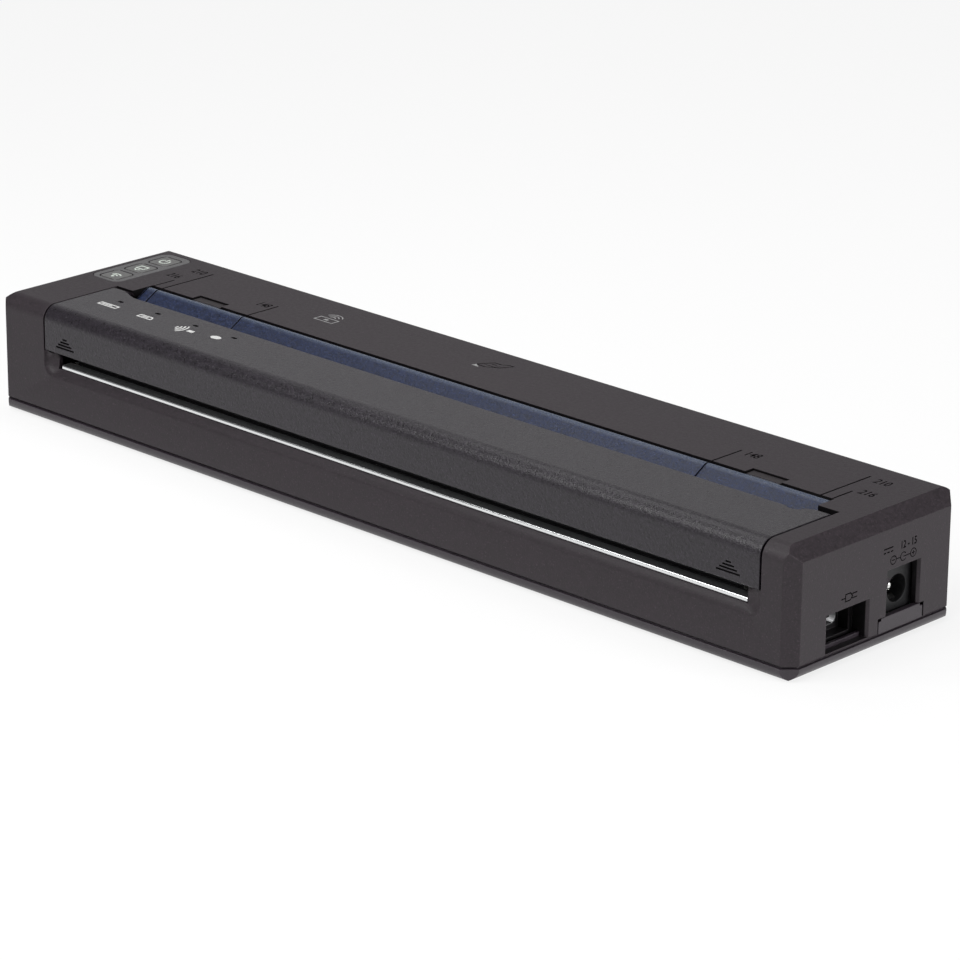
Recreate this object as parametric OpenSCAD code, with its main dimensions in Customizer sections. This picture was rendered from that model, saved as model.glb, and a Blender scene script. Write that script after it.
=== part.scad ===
// A4 portable thermal printer: a long slim case with a lift-up release cover over the platen
// roller, a rear feed slot with a guide ramp, a front exit slot with a tear bar, a control panel,
// two sockets in the right end and a battery door underneath.
// X runs along the width, Y from the exit side (front) to the rear, Z up from the table.

/* [Case] */
// Overall width, along X
case_w = 255; // [253:0.5:257]
// Overall depth, along Y
case_d = 55; // [55:0.1:55.6]
// Overall height from the table to the deck
case_h = 30; // [30:0.05:30.3]
// Wall thickness of the two case shells
wall = 1.8; // [1.6:0.05:1.9]
// Flat chamfer on the four upright corners
corner_chamfer = 2.9; // [2:0.1:3.2]
// Flat chamfer along the top of both ends
end_chamfer = 3.3; // [2.5:0.1:3.5]
// Radius of the long front top edge
front_round = 3.7; // [3:0.1:4]
// Radius of the long rear top edge
rear_round = 2.3; // [1.8:0.1:2.6]
// Height of the parting line between the shells
seam_z = 3.3; // [3.1:0.05:3.5]
// Height of the shadow gap at the parting line
seam_gap = 0.55; // [0.4:0.05:0.6]

/* [Release cover] */
// Wall thickness of the release cover
cover_wall = 1.6; // [1.4:0.1:1.7]
// Gap between the cover and the case at each end
cover_gap = 0.6; // [0.5:0.05:0.7]
// Height of the cover's front lip above the table
lip_z = 18.9; // [18.8:0.05:19]
// How far the cover opens, in degrees
cover_open = 70; // [60:1:70]

/* [Paper path] */
// Widest paper the path takes
paper_w = 210; // [208:1:212]
// How far the middle of the paper path lies right of the middle of the case
path_shift = 4.15; // [4:0.05:4.3]
// Radius of the rubber platen roller
platen_r = 4.5; // [4.3:0.05:4.55]
// Slope of the feed ramp, in degrees
ramp_slope = 31; // [30:0.5:32]
// How far the head swings down when the cover is open, in degrees
head_open = 4; // [3.5:0.1:4]

/* [Drive] */
// Gear module
gear_m = 0.5; // [0.49:0.005:0.5]
// Teeth on the platen gear
platen_teeth = 24; // [24]
// Teeth on the small wheel of the reduction gear
small_teeth = 12; // [12]
// Teeth on the large wheel of the reduction gear
large_teeth = 30; // [30]
// Teeth on the motor pinion
pinion_teeth = 12; // [12]

/* [Keys] */
// Side of a key cap
key_side = 6.2; // [5.8:0.1:6.4]
// Distance between neighbouring keys
key_pitch = 8.05; // [7.9:0.05:8.1]
// Key travel
key_travel = 0.5; // [0.3:0.05:0.5]

/* [Hidden] */
$fn = 48;
eps = 0.02;
front = -case_d / 2;
rear = case_d / 2;
left = -case_w / 2;
right = case_w / 2;
top = case_h;
deck_under = top - wall;

// parting line
lower_top = seam_z - seam_gap / 2;
upper_base = seam_z + seam_gap / 2;
sole = 0.3;
board_t = 1.2;
floor_top = 1.8;
lower_edge_front = 2.2;
lower_edge_end = 2.5;
facet_in = 3.6;
lip_bevel = 0.25;
tongue_t = 0.9;
tongue_top = 4.9;

// release cover and the well it closes
cover_x0 = left + 17.65;
cover_x1 = right - 9.2;
well_x0 = cover_x0 - cover_gap;
well_x1 = cover_x1 + cover_gap;
well_wall = 1.8;
cover_rear = front + 20.4;
hinge_y = front + 21.9;
knuckle_r = 2.4;
hinge_z = top - knuckle_r;
ear_edge = hinge_y + knuckle_r + 0.3;
ear_lap = 0.7;
ear_w = 4.35;
hinge_pin_r = 1;
running_play = 0.05;

// exit recess and slot
exit_z = 12.5;
exit_depth = 1.9;
exit_round = 3;
cove_left = 3.5;
cove_right = 5;
slot_x0 = well_x0 + cove_left;
slot_x1 = well_x1 - cove_right;
shelf_top = 14.4;
bar_t = 1.25;
bar_edge_r = 0.45;

// feed guide
guide_half = paper_w / 2 + 3.6;
guide_x0 = path_shift - guide_half;
guide_x1 = path_shift + guide_half;
crest_y = front + 29;
deck_edge = crest_y + 1.4;
guide_t = 1.2;

// platen and head
platen_y = front + 10;
platen_z = top - 8.7;
platen_x0 = path_shift - paper_w / 2 - 3.65;
platen_x1 = path_shift + paper_w / 2 + 3.65;
shaft_r = 2;
bush_r = 3.2;
nip_gap = 0.15;
head_top = platen_z - platen_r - nip_gap;
head_y = front + 17;
head_z = 9.5;
head_x0 = path_shift - 109.15;
head_x1 = path_shift + 106.35;
head_pin_r = 1;
// rise of the ears' cams per radian, so that the open cover holds the head down
cam_rise = (hinge_z - head_z) * sin(head_open) / (cover_open * PI / 180);
head_front = front + 5.6;
spring_xs = [head_x0 + 40, path_shift, head_x1 - 40];

// gear train, left of the well
stub = 0.8;
gear_play = 0.14;
small_dist = gear_m * (platen_teeth + small_teeth) / 2 + 0.06;
large_dist = gear_m * (large_teeth + pinion_teeth) / 2 + 0.06;
small_dir = -27;
large_dir = -25;
red_y = platen_y + small_dist * cos(small_dir);
red_z = platen_z + small_dist * sin(small_dir);
motor_y = red_y + large_dist * cos(large_dir);
motor_z = red_z + large_dist * sin(large_dir);
motor_r = 7.3;
frame_x = well_x0 - 2.9;
frame_t = 1;

// battery and its door
batt_x0 = left + 38.5;
batt_x1 = right - 18.5;
batt_y = rear - 12.5;
batt_side = 19.4;
batt_z0 = 2.2;
door_x0 = batt_x0 + 1;
door_x1 = batt_x1 - 1;
door_y0 = batt_y - 10.6;
door_gap = 0.4;
door_hinge_y = rear - 3.9;
door_hinge_z = 1.45;
door_knuckle_r = 1.1;
door_pin_r = 0.6;
door_knuckles = [[-70, -60], [80, 90]];

// sockets in the right end
usb_y = front + 18.05;
usb_z = 7.9;
usb_y0 = usb_y - 6.85;
usb_y1 = usb_y + 6.85;
usb_z0 = 4;
usb_z1 = 12.7;
usb_face = right - 7.1;
usb_half_h = 1.58;
port_board_top = usb_z - usb_half_h;
jack_y = rear - 17.55;
jack_z = 11.2;
jack_r = 3.15;
jack_face = right - 2.5;
jack_y0 = rear - 24;
jack_y1 = rear - 13.2;
jack_z0 = 7.1;
jack_z1 = 17.4;
tab_y0 = rear - 26.1;
tab_y1 = rear - 11.3;
tab_top = 6.9;

// control panel at the rear left
panel_x0 = left + 4.5;
panel_x1 = left + 15.2;
panel_y0 = rear - 29.7;
panel_y1 = rear - 3.5;
panel_t = 1;
key_x = (panel_x0 + panel_x1) / 2;
key_y0 = rear - 25;
key_gap = 0.25;
key_board_top = 24.6;
switch_top = 25.5;

// indicators on the cover
led_y = front + 15.75;
led_x0 = cover_x0 + 10.1;
led_pitch = 13.55;

// case screws
screw_x = right - 4.6;
screw_y = rear - 4.6;
screw_r = 1;
boss_r = 2.9;

case_colour = [0.16, 0.15, 0.155];
lower_colour = [0.2, 0.19, 0.195];
steel = [0.72, 0.73, 0.75];
board_green = [0.05, 0.3, 0.16];

// points on an arc about (cy, cz)
function arc(cy, cz, r, a0, a1, n = 8) =
    [for (i = [0:n]) let (a = a0 + (a1 - a0) * i / n) [cy + r * cos(a), cz + r * sin(a)]];
function unit(v) = v / norm(v);
function run_dir(p, i) = unit(p[min(i + 1, len(p) - 1)] - p[max(i - 1, 0)]);
// closed outline of a sheet of thickness t on the left of the open line p
function sheet(p, t) = concat(p, [for (i = [len(p) - 1:-1:0])
    p[i] + t * [-run_dir(p, i)[1], run_dir(p, i)[0]]]);

// outline in YZ pushed along X, in XY along Z, and in XZ along Y
module along_x(x0, x1) translate([x0, 0, 0]) rotate([90, 0, 90]) linear_extrude(x1 - x0) children();
module along_z(z0, z1) translate([0, 0, z0]) linear_extrude(z1 - z0) children();
module along_y(y0, y1) translate([0, y1, 0]) rotate([90, 0, 0]) linear_extrude(y1 - y0) children();
module block(x0, x1, y0, y1, z0, z1) translate([x0, y0, z0]) cube([x1 - x0, y1 - y0, z1 - z0]);
module rod(x0, x1, y, z, r) translate([x0, y, z]) rotate([0, 90, 0]) cylinder(r = r, h = x1 - x0);
module post(x, y, z0, z1, r) translate([x, y, z0]) cylinder(r = r, h = z1 - z0);

// rectangle with rounded corners
module round_rect(x0, x1, y0, y1, r) {
    polygon(concat(arc(x1 - r, y1 - r, r, 0, 90, 6), arc(x0 + r, y1 - r, r, 90, 180, 6),
        arc(x0 + r, y0 + r, r, 180, 270, 6), arc(x1 - r, y0 + r, r, 270, 360, 6)));
}

// ---- case shells ----

// plan of the case with its four flat corners, drawn in by inset
module case_plan(inset) {
    c = corner_chamfer - inset * (2 - sqrt(2));
    x = right - inset;
    y = rear - inset;
    polygon([[x, -y + c], [x, y - c], [x - c, y], [c - x, y],
        [-x, y - c], [-x, c - y], [c - x, -y], [x - c, -y]]);
}

// flat facets that slope from the upright corners in to the deck
module corner_facets(inset, z0) {
    fall = [-facet_in, end_chamfer] / norm([facet_in, end_chamfer]);
    face = [fall[1], -fall[0]];
    foot = [(right + rear - corner_chamfer) / sqrt(2), top - end_chamfer] - inset * face;
    a = foot - 4 * fall;
    b = foot + 8 * fall;
    for (turn = [-45, 45]) rotate(turn) along_y(left, right)
        polygon([[-a[0], z0 - 1], [-a[0], a[1]], [-b[0], b[1]], b, a, [a[0], z0 - 1]]);
}

// upper shell's solid form: side outline, end outline, plan and corner facets cut from each other
module upper_form(inset, z0) {
    fr = front_round - inset;
    rr = max(rear_round - inset, 0.2);
    y = rear - inset;
    z = top - inset;
    x = right - inset;
    c = end_chamfer - inset * (2 - sqrt(2));
    intersection() {
        along_x(left, right) polygon(concat([[lip_bevel - y, z0], [-y, z0 + lip_bevel]],
            arc(fr - y, z - fr, fr, 180, 90), arc(y - rr, z - rr, rr, 90, 0),
            [[y, z0 + lip_bevel], [y - lip_bevel, z0]]));
        along_y(front - 1, rear + 1) polygon([[lip_bevel - x, z0], [-x, z0 + lip_bevel], [-x, z - c],
            [c - x, z], [x - c, z], [x, z - c], [x, z0 + lip_bevel], [x - lip_bevel, z0]]);
        along_z(z0, top) case_plan(inset);
        corner_facets(inset, z0);
    }
}

// outline of the exit recess at a share t of its depth: the ends cove inwards
module exit_outline(t) {
    cove = 1 - sqrt(1 - t * t);
    x0 = well_x0 + cove_left * cove;
    x1 = well_x1 - cove_right * cove;
    z0 = exit_z + exit_depth * t;
    r = exit_round;
    polygon(concat([[x1, top + 1], [x0, top + 1]], arc(x0 + r, z0 + r, r, 180, 270, 7),
        arc(x1 - r, z0 + r, r, 270, 360, 7)));
}

module exit_recess() {
    steps = [0, 0.45, 0.75, 0.93, 1];
    for (i = [0:3]) hull() {
        along_y(front + exit_depth * steps[i] - (i == 0 ? 0.5 : eps), front + exit_depth * steps[i])
            exit_outline(steps[i]);
        along_y(front + exit_depth * steps[i + 1] - eps, front + exit_depth * steps[i + 1])
            exit_outline(steps[i + 1]);
    }
}

// walls at both ends of the well: they carry the platen bushes and the hinge pins
module well_walls() {
    for (x = [well_x0 - well_wall, well_x1]) along_x(x, x + well_wall)
        polygon([[front + 1.6, exit_z + 0.2], [front + 1.6, top - 1.5], [ear_edge + 4, top - 1.5],
            [ear_edge + 4, 20.9], [front + 18.6, 20.9], [front + 18.6, exit_z + 0.2]]);
}

// cheeks and shelf behind the exit recess
module exit_frame() {
    block(well_x0 - eps, slot_x0, front + 0.5, front + 3.1, exit_z - 0.6, lip_z - 0.2);
    block(slot_x1, well_x1 + eps, front + 0.5, front + 3.1, exit_z - 0.6, lip_z - 0.2);
    along_x(well_x0 - 0.5, well_x1 + 0.5) polygon([[front + 0.5, 11.2], [front + 0.5, shelf_top],
        [front + 4.7, shelf_top], [front + 4.7, shelf_top - 1.4], [front + 1.8, 11.2]]);
}

// slope on the rear side of a window in the right end
module bevel(y, z0, z1) along_z(z0, z1)
    polygon([[right - 0.6, y - 0.5], [right - 0.6, y], [right + 0.4, y + 1], [right + 0.4, y - 0.5]]);

// box behind the socket recess in the right end
module usb_tunnel() {
    difference() {
        block(usb_face - 1, right - wall + eps, usb_y0 - 1, usb_y1 + 1, upper_base, usb_z1 + 1);
        block(usb_face, right, usb_y0, usb_y1 - 1.2, usb_z0 + 1, usb_z1);
        block(right - 4.2, right, usb_y0, usb_y1, upper_base - 1, usb_z1);
        block(usb_face - 2, usb_face + 1, usb_y - 4.6, usb_y + 4.6, usb_z - 1.75, usb_z + 1.75);
    }
}

module case_bosses() {
    for (x = [-screw_x, screw_x], y = [-screw_y, screw_y]) post(x, y, upper_base, 11.5, boss_r);
}

module board_bosses() {
    for (x = [batt_x0 + 8, path_shift + 4, batt_x1 - 8]) post(x, rear - 5.5, 24.6, deck_under + eps, 2.1);
}

module upper_case() color(case_colour) difference() {
    union() {
        difference() {
            upper_form(0, upper_base);
            upper_form(wall, upper_base - 1);
        }
        well_walls();
        exit_frame();
        usb_tunnel();
        case_bosses();
        board_bosses();
        // rails that carry the key board
        for (x = [panel_x0 + 0.3, panel_x1 - 1.2])
            block(x, x + 0.9, panel_y0 + 3, panel_y1 - 1.2, key_board_top, deck_under + eps);
    }
    exit_recess();
    // slot, and the well that the release cover fills
    block(slot_x0, slot_x1, front + 1, front + 8, shelf_top, lip_z + 1);
    block(well_x0, well_x1, front - 1, ear_edge, lip_z - 0.2, deck_under + 0.2);
    along_x(well_x0, 0) polygon([[front - 1, deck_under], [ear_edge, deck_under], [ear_edge, deck_under + 0.2],
        [ear_edge - ear_lap, top - 0.5], [ear_edge - ear_lap, top + 1], [front - 1, top + 1]]);
    block(-eps, well_x1, front - 1, ear_edge + 0.4, deck_under, top + 1);
    block(guide_x0 - 0.2, guide_x1 + 0.2, front, deck_edge, 24, top + 1);
    // holes for the bushes and the hinge pins
    rod(well_x0 - 3, well_x0 + 1, platen_y, platen_z, bush_r);
    rod(well_x1 - 1, well_x1 + 3, platen_y, platen_z, bush_r);
    rod(well_x0 - 1.5, well_x0 + 1, hinge_y, hinge_z, hinge_pin_r);
    rod(well_x1 - 1, well_x1 + 1.5, hinge_y, hinge_z, hinge_pin_r);
    // control panel pocket and key windows
    along_z(top - panel_t, top + 1) round_rect(panel_x0, panel_x1, panel_y0, panel_y1, 3);
    for (i = [0:2]) along_z(deck_under - 1, top) translate([key_x, key_y0 + i * key_pitch])
        round_rect(-3.6, 3.6, -3.6, 3.6, 1);
    // notches for the feed guide's two hooks
    for (x = [guide_x0 + 14.4, guide_x1 - 24.8])
        block(x, x + 10.4, deck_edge - 0.5, deck_edge + 2.7, deck_under - 1, top + 1);
    // socket recess, jack window and the notch for the lower shell's tongue
    block(right - wall - 1, right + 1, usb_y0, usb_y1, usb_z0, usb_z1);
    bevel(usb_y1, usb_z0, usb_z1);
    block(right - wall - 1, right + 1, jack_y0, jack_y1, jack_z0, jack_z1);
    bevel(jack_y1, jack_z0, jack_z1);
    block(right - wall - 1, right + 1, tab_y0 - 0.45, tab_y1 + 0.25, upper_base - 1, jack_z0 + eps);
    // pilot holes
    for (x = [-screw_x, screw_x], y = [-screw_y, screw_y]) post(x, y, upper_base - 1, 10.5, screw_r);
    for (x = [batt_x0 + 8, path_shift + 4, batt_x1 - 8]) post(x, rear - 5.5, 24, 27.4, 0.75);
}

// lower shell's solid form: a shallow pan with rounded lower edges
module lower_form(inset, z0, z1) {
    y = rear - inset;
    x = right - inset;
    fy = max(lower_edge_front - inset, 0.3);
    fx = max(lower_edge_end - inset, 0.3);
    intersection() {
        along_x(left, right) polygon(concat([[y, z1], [-y, z1]],
            arc(fy - y, z0 + fy, fy, 180, 270), arc(y - fy, z0 + fy, fy, 270, 360)));
        along_y(front - 1, rear + 1) polygon(concat([[x, z1], [-x, z1]],
            arc(fx - x, z0 + fx, fx, 180, 270), arc(x - fx, z0 + fx, fx, 270, 360)));
        along_z(z0 - 1, z1 + 1) case_plan(inset);
    }
}

module pan_rim(in0, in1, z0, z1) along_z(z0, z1) difference() {
    case_plan(in0);
    case_plan(in1);
}

module head_posts() {
    for (x = [head_x0 - 5.2, head_x1 + 0.5]) along_x(x, x + 1.9)
        polygon(concat([[head_y + 2.2, floor_top - eps]], arc(head_y, head_z, 2.2, 0, 180),
            [[head_y - 2.2, floor_top - eps]]));
}

module door_lugs() {
    for (k = door_knuckles, x = [k[0] - 3.3, k[1] + 0.3]) along_x(x, x + 3)
        polygon(concat([[rear - 1.4, 0.7], [rear - 1.4, 2.7]],
            arc(door_hinge_y, door_hinge_z + 0.15, 1.1, 90, 270)));
}

module lower_case() color(lower_colour) difference() {
    union() {
        difference() {
            lower_form(0, sole, lower_top);
            lower_form(wall, floor_top, lower_top + 1);
        }
        // ledge that the upper shell rests on, and the tongue inside it
        pan_rim(0.75, wall + 0.15 + tongue_t, lower_top - 1, upper_base);
        pan_rim(wall + 0.15, wall + 0.15 + tongue_t, lower_top - 1, tongue_top);
        // tongue below the jack
        difference() {
            union() {
                block(right - 2.6, right - 0.1, tab_y0, tab_y1, lower_top - 1, upper_base + 0.8);
                block(right - 1.4, right - 0.1, tab_y0, tab_y1, lower_top, tab_top);
            }
            for (y = [tab_y0 - 1, tab_y1 - 0.9])
                block(right - 3, right, y, y + 1.9, tab_top - 0.6, tab_top + 1);
            block(right - 1, right, tab_y0 - 1, tab_y1 + 1, lower_top, upper_base);
        }
        // battery well wall, ribs and bosses
        block(batt_x0 - 2, batt_x1 + 2, door_y0 - 1.6, door_y0 - 0.4, floor_top - eps, 12);
        for (x = [batt_x0 - 2, batt_x1 + 0.8]) block(x, x + 1.2, door_y0 - 1, rear - 2.2, floor_top - eps, 12);
        for (x = [-80:32:80]) block(x, x + 1, front + 2.5, door_y0 - 1.2, floor_top - eps, 4.2);
        head_posts();
        door_lugs();
        for (x = [-screw_x, screw_x], y = [-screw_y, screw_y]) post(x, y, floor_top - eps, upper_base, boss_r);
        for (x = spring_xs) post(x, platen_y - 0.5, floor_top - eps, 4.4, 3);
        // standoffs for the port board
        for (p = [[head_x1 + 5.6, front + 15], [head_x1 + 5.6, rear - 24], [right - 7.5, rear - 14]])
            post(p[0], p[1], floor_top - eps, port_board_top - board_t, 1.6);
    }
    // battery opening, less the strip that carries the lugs
    difference() {
        block(door_x0 - door_gap, door_x1 + door_gap, door_y0 - door_gap, rear - 2.3, -1, floor_top + 1);
        door_lugs();
    }
    rod(door_x0, door_x1, door_hinge_y, door_hinge_z, door_pin_r);
    // seats for the springs and the head's pivot pin
    for (x = spring_xs) post(x, platen_y - 0.5, 2.6, 6, 2.35);
    rod(head_x0 - 5.2 - eps, head_x1 + 3, head_y, head_z, head_pin_r);
    // screw holes with their counterbores, and the feet's seats
    for (x = [-screw_x, screw_x], y = [-screw_y, screw_y]) {
        post(x, y, -1, 5, screw_r + 0.15);
        post(x, y, -1, 1.5, 2.15);
        post(x, y, upper_base, tongue_top + 1, boss_r + 0.1);
    }
    // gaps in the tongue for the walls beside the socket recess
    for (y = [usb_y0 - 1.1, usb_y1 - 0.1])
        block(right - 3.2, right - wall, y, y + 1.2, upper_base, tongue_top + 1);
    for (f = feet) along_z(-1, 0.8) round_rect(f[0] - 4.1, f[0] + 4.1, f[1] - 2.6, f[1] + 2.6, 1.1);
}

// ---- paper path ----

// line of the guide's paper side: rounded crest, straight ramp, bend, and the sweep round the platen
crest_r = 1.3;
crest_c = [crest_y - 0.2, top - 0.05 - crest_r];
sweep_r = platen_r + 0.9;
sweep_a = -8;
ramp_n = [-sin(ramp_slope), cos(ramp_slope)];
sweep_start = [platen_y, platen_z] + sweep_r * [cos(sweep_a), sin(sweep_a)];
bend_end = [-cos(sweep_a), -sin(sweep_a)];
sensor_down = 6.4;
sensor_len = 3.2;
bend_r = (crest_c + crest_r * ramp_n - sweep_start) * ramp_n / (1 - bend_end * ramp_n);
bend_c = sweep_start - bend_r * bend_end;
guide_line = concat(arc(crest_c[0], crest_c[1], crest_r, 15, 90 + ramp_slope, 7),
    arc(bend_c[0], bend_c[1], bend_r, 90 + ramp_slope, 180 + sweep_a, 6),
    arc(platen_y, platen_z, sweep_r, sweep_a - 5, -40, 5));

module feed_guide() color([0.14, 0.17, 0.3]) {
    difference() {
        along_x(guide_x0, guide_x1) polygon(sheet(guide_line, guide_t));
        translate([path_shift, crest_c[0], crest_c[1]]) rotate([ramp_slope, 0, 0])
            block(-1.5, 1.5, -sensor_down - sensor_len + 0.6, -sensor_down - 0.6, -1, crest_r + 1);
    }
    // flange under the deck and its two hooks
    block(guide_x0, guide_x1, crest_y - 2.6, deck_edge + 3.3, deck_under - 1.3, deck_under);
    for (x = [guide_x0 + 14.8, guide_x1 - 24.4])
        block(x, x + 9.6, crest_y + 0.6, deck_edge + 2.4, deck_under - 1, top - 0.35);
}

module tear_bar() color(steel) along_x(slot_x0 + 1.2, slot_x1 - 0.1) {
    nose_y = front + 1.75 + bar_edge_r;
    polygon(concat(arc(nose_y, shelf_top + bar_t - bar_edge_r, bar_edge_r, 90, 180, 4),
        arc(nose_y, shelf_top + bar_edge_r, bar_edge_r, 180, 270, 4),
        [[front + 4.6, shelf_top], [front + 4.6, shelf_top + bar_t]]));
}

// sensor against the back of the ramp, looking through a window in it
module paper_sensor() color([0.1, 0.1, 0.1]) {
    along = [-ramp_n[1], ramp_n[0]];
    foot = crest_c + (crest_r - guide_t) * ramp_n + sensor_down * along;
    along_x(path_shift - 3, path_shift + 3) polygon([foot, foot + sensor_len * along,
        foot + sensor_len * along - 1.8 * ramp_n, foot - 1.8 * ramp_n]);
}

// ---- release cover ----

module cover_shell() {
    t = cover_wall;
    along_x(cover_x0, cover_x1) polygon(concat(
        [[cover_rear, top - t], [cover_rear, top - 0.3], [cover_rear - 0.3, top]],
        arc(front + front_round, top - front_round, front_round, 90, 180),
        [[front, lip_z + 0.3], [front + 0.3, lip_z], [front + t, lip_z]],
        arc(front + front_round, top - front_round, front_round - t, 180, 90)));
}

// ends of the cover, arched over the platen shaft
module cover_webs() {
    for (x = [cover_x0, cover_x1 - 1.6]) along_x(x, x + 1.6) polygon(concat(
        [[cover_rear - 0.5, top - 0.8]],
        arc(front + front_round, top - front_round, front_round - 0.8, 90, 180),
        [[front + 0.8, lip_z], [front + 5.9, lip_z], [front + 6.4, 24.5], [cover_rear - 0.5, 24.5]]));
}

// knuckle with the snail cam that presses the head's release lever
module cover_ear(x) along_x(x, x + ear_w) polygon(concat(
    arc(hinge_y, hinge_z, knuckle_r, -90, 180, 18),
    [for (i = [1:12]) let (a = i * 7.5, r = knuckle_r + cam_rise * a * PI / 180)
        [hinge_y - r * cos(a), hinge_z - r * sin(a)]]));

// top of the ear, blended into the cover's rear edge
module ear_blend(x, s) along_z(top - cover_wall, top) polygon(concat(
    [[x, cover_rear - 1], [x, hinge_y], [x + s * ear_w, hinge_y]],
    [for (i = [1:8]) let (t = (1 - cos(22.5 * i)) / 2)
        [x + s * (ear_w + 5 * i / 8), hinge_y - (hinge_y - cover_rear) * t]],
    [[x + s * (ear_w + 5), cover_rear - 1]]));

// ribbed push-up mark on the front face
module push_mark(x) for (i = [0:3]) {
    half = 0.75 + 0.85 * (3 - i);
    block(x - half, x + half, front - 1, front + 0.45, 20.6 + 0.75 * i, 21.02 + 0.75 * i);
}

module release_cover() color([0.22, 0.22, 0.23]) difference() {
    union() {
        cover_shell();
        cover_webs();
        cover_ear(cover_x0);
        cover_ear(cover_x1 - ear_w);
        ear_blend(cover_x0, 1);
        ear_blend(cover_x1, -1);
        // pads that carry the indicator board
        for (i = [0.5, 2.5]) post(led_x0 + i * led_pitch, led_y + 1, top - 2.5, top - 1.5, 1.2);
        // stiffening ribs under the top
        for (x = [cover_x0 + 56:13:cover_x1 - 12])
            block(x, x + 1, front + 1.5, cover_rear - 1, top - 3.2, top - 1.5);
    }
    for (x = [cover_x0 - 1, cover_x1 - ear_w - 1])
        rod(x, x + ear_w + 2, hinge_y, hinge_z, hinge_pin_r + running_play);
    for (i = [0:3]) translate([led_x0 + i * led_pitch, led_y, top - 3]) {
        for (dx = [-0.35, 0.35]) translate([dx, 0, 0]) cylinder(r = 0.5, h = 4);
    }
    // small relief in the rear edge beside the right ear
    translate([cover_x1 - 8.4, cover_rear + 1.6, top - 3]) cylinder(r = 2.6, h = 4);
    push_mark(cover_x0 + 7.3);
    push_mark(cover_x1 - 8.5);
}

module indicator_board() color(board_green)
    block(led_x0 - 3, led_x0 + 3 * led_pitch + 3, led_y - 1.7, cover_rear - 1.6, top - 3.3, top - 2.5);

module indicator_lamps() color([0.9, 0.95, 0.9]) for (i = [0:3]) {
    x = led_x0 + i * led_pitch;
    block(x - 0.8, x + 0.8, led_y - 0.4, led_y + 0.4, top - 2.5, top - 1.7);
}

module cover_hinge_pins() color(steel) {
    rod(well_x0 - 1.5, cover_x0 + ear_w - 0.3, hinge_y, hinge_z, hinge_pin_r);
    rod(cover_x1 - ear_w + 0.3, well_x1 + 1.5, hinge_y, hinge_z, hinge_pin_r);
}

// ---- platen and drive ----

module platen_rubber() color([0.1, 0.1, 0.1]) difference() {
    rod(platen_x0, platen_x1, platen_y, platen_z, platen_r);
    rod(platen_x0 - 1, platen_x1 + 1, platen_y, platen_z, shaft_r);
}

module platen_shaft() color(steel) rod(well_x0 - 8.7, well_x1 + 2.3, platen_y, platen_z, shaft_r);

module platen_bushes() color([0.75, 0.73, 0.66]) {
    for (x = [frame_x, well_x1 - 0.2]) difference() {
        rod(x, x + 2.8, platen_y, platen_z, bush_r);
        rod(x - 1, x + 4, platen_y, platen_z, shaft_r + running_play);
    }
}

// half the angle that a tooth spans at radius r
function inv(a) = tan(a) * 180 / PI - a;
function tooth_half(n, m, r) =
    let (rp = n * m / 2, rb = rp * cos(20))
    90 / n - gear_play / 4 / rp * 180 / PI + inv(20) - (r > rb ? inv(acos(rb / r)) : 0);
function gear_outline(n, m) =
    let (rp = n * m / 2, rb = rp * cos(20), ra = rp + stub * m, rf = rp - 1.1 * m,
        rs = [rf, rb + 0.02, (rb + ra) / 2, ra])
    [for (i = [0:n - 1], k = [0:7]) let (r = k < 4 ? rs[k] : rs[7 - k],
        a = 360 * i / n + (k < 4 ? -1 : 1) * tooth_half(n, m, max(r, rb))) r * [cos(a), sin(a)]];
module gear_wheel(n, x0, x1, y, z, turn) translate([x0, y, z]) rotate([90, 0, 90]) rotate(turn)
    linear_extrude(x1 - x0) polygon(gear_outline(n, gear_m));

gear_x1 = well_x0 - 4.2;
module platen_gear() color([0.85, 0.84, 0.8]) difference() {
    union() {
        gear_wheel(platen_teeth, gear_x1 - 4, gear_x1, platen_y, platen_z, small_dir);
        rod(gear_x1 - 4.6, gear_x1 + 0.6, platen_y, platen_z, 3.2);
    }
    rod(gear_x1 - 6, gear_x1 + 2, platen_y, platen_z, shaft_r);
}

module reduction_gear() color([0.9, 0.89, 0.86]) difference() {
    union() {
        gear_wheel(small_teeth, gear_x1 - 5, gear_x1 + 0.2, red_y, red_z, small_dir + 180 / small_teeth);
        gear_wheel(large_teeth, gear_x1 - 7.6, gear_x1 - 5, red_y, red_z, large_dir);
    }
    rod(gear_x1 - 9, gear_x1 + 2, red_y, red_z, 1.3 + running_play);
}

module gear_post() color(steel) {
    rod(gear_x1 - 8, frame_x + frame_t, red_y, red_z, 1.3);
    rod(gear_x1 - 8.5, gear_x1 - 8, red_y, red_z, 2);
}

module left_frame() color(steel) difference() {
    along_x(frame_x, frame_x + frame_t) polygon([[front + 3.2, floor_top], [front + 3.2, 24], [front + 6, 27],
        [front + 15, 27], [front + 24, 23.4], [motor_y + 8.6, motor_z + 6], [motor_y + 8.6, floor_top]]);
    rod(frame_x - 1, frame_x + 2, platen_y, platen_z, bush_r);
    rod(frame_x - 1, frame_x + 2, red_y, red_z, 1.3);
    rod(frame_x - 1, frame_x + 2, motor_y, motor_z, 3);
    rod(frame_x - 1, frame_x + 2, front + 8, 9.5, 2.2);
}

module motor_body() color([0.6, 0.61, 0.63]) difference() {
    union() {
        rod(frame_x + frame_t, frame_x + frame_t + 15, motor_y, motor_z, motor_r);
        rod(frame_x, frame_x + frame_t + 1, motor_y, motor_z, 3);
    }
    rod(frame_x - 1, frame_x + 12, motor_y, motor_z, 1 + running_play);
}

module motor_shaft() color(steel) rod(gear_x1 - 7.8, frame_x + 11, motor_y, motor_z, 1);

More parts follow.
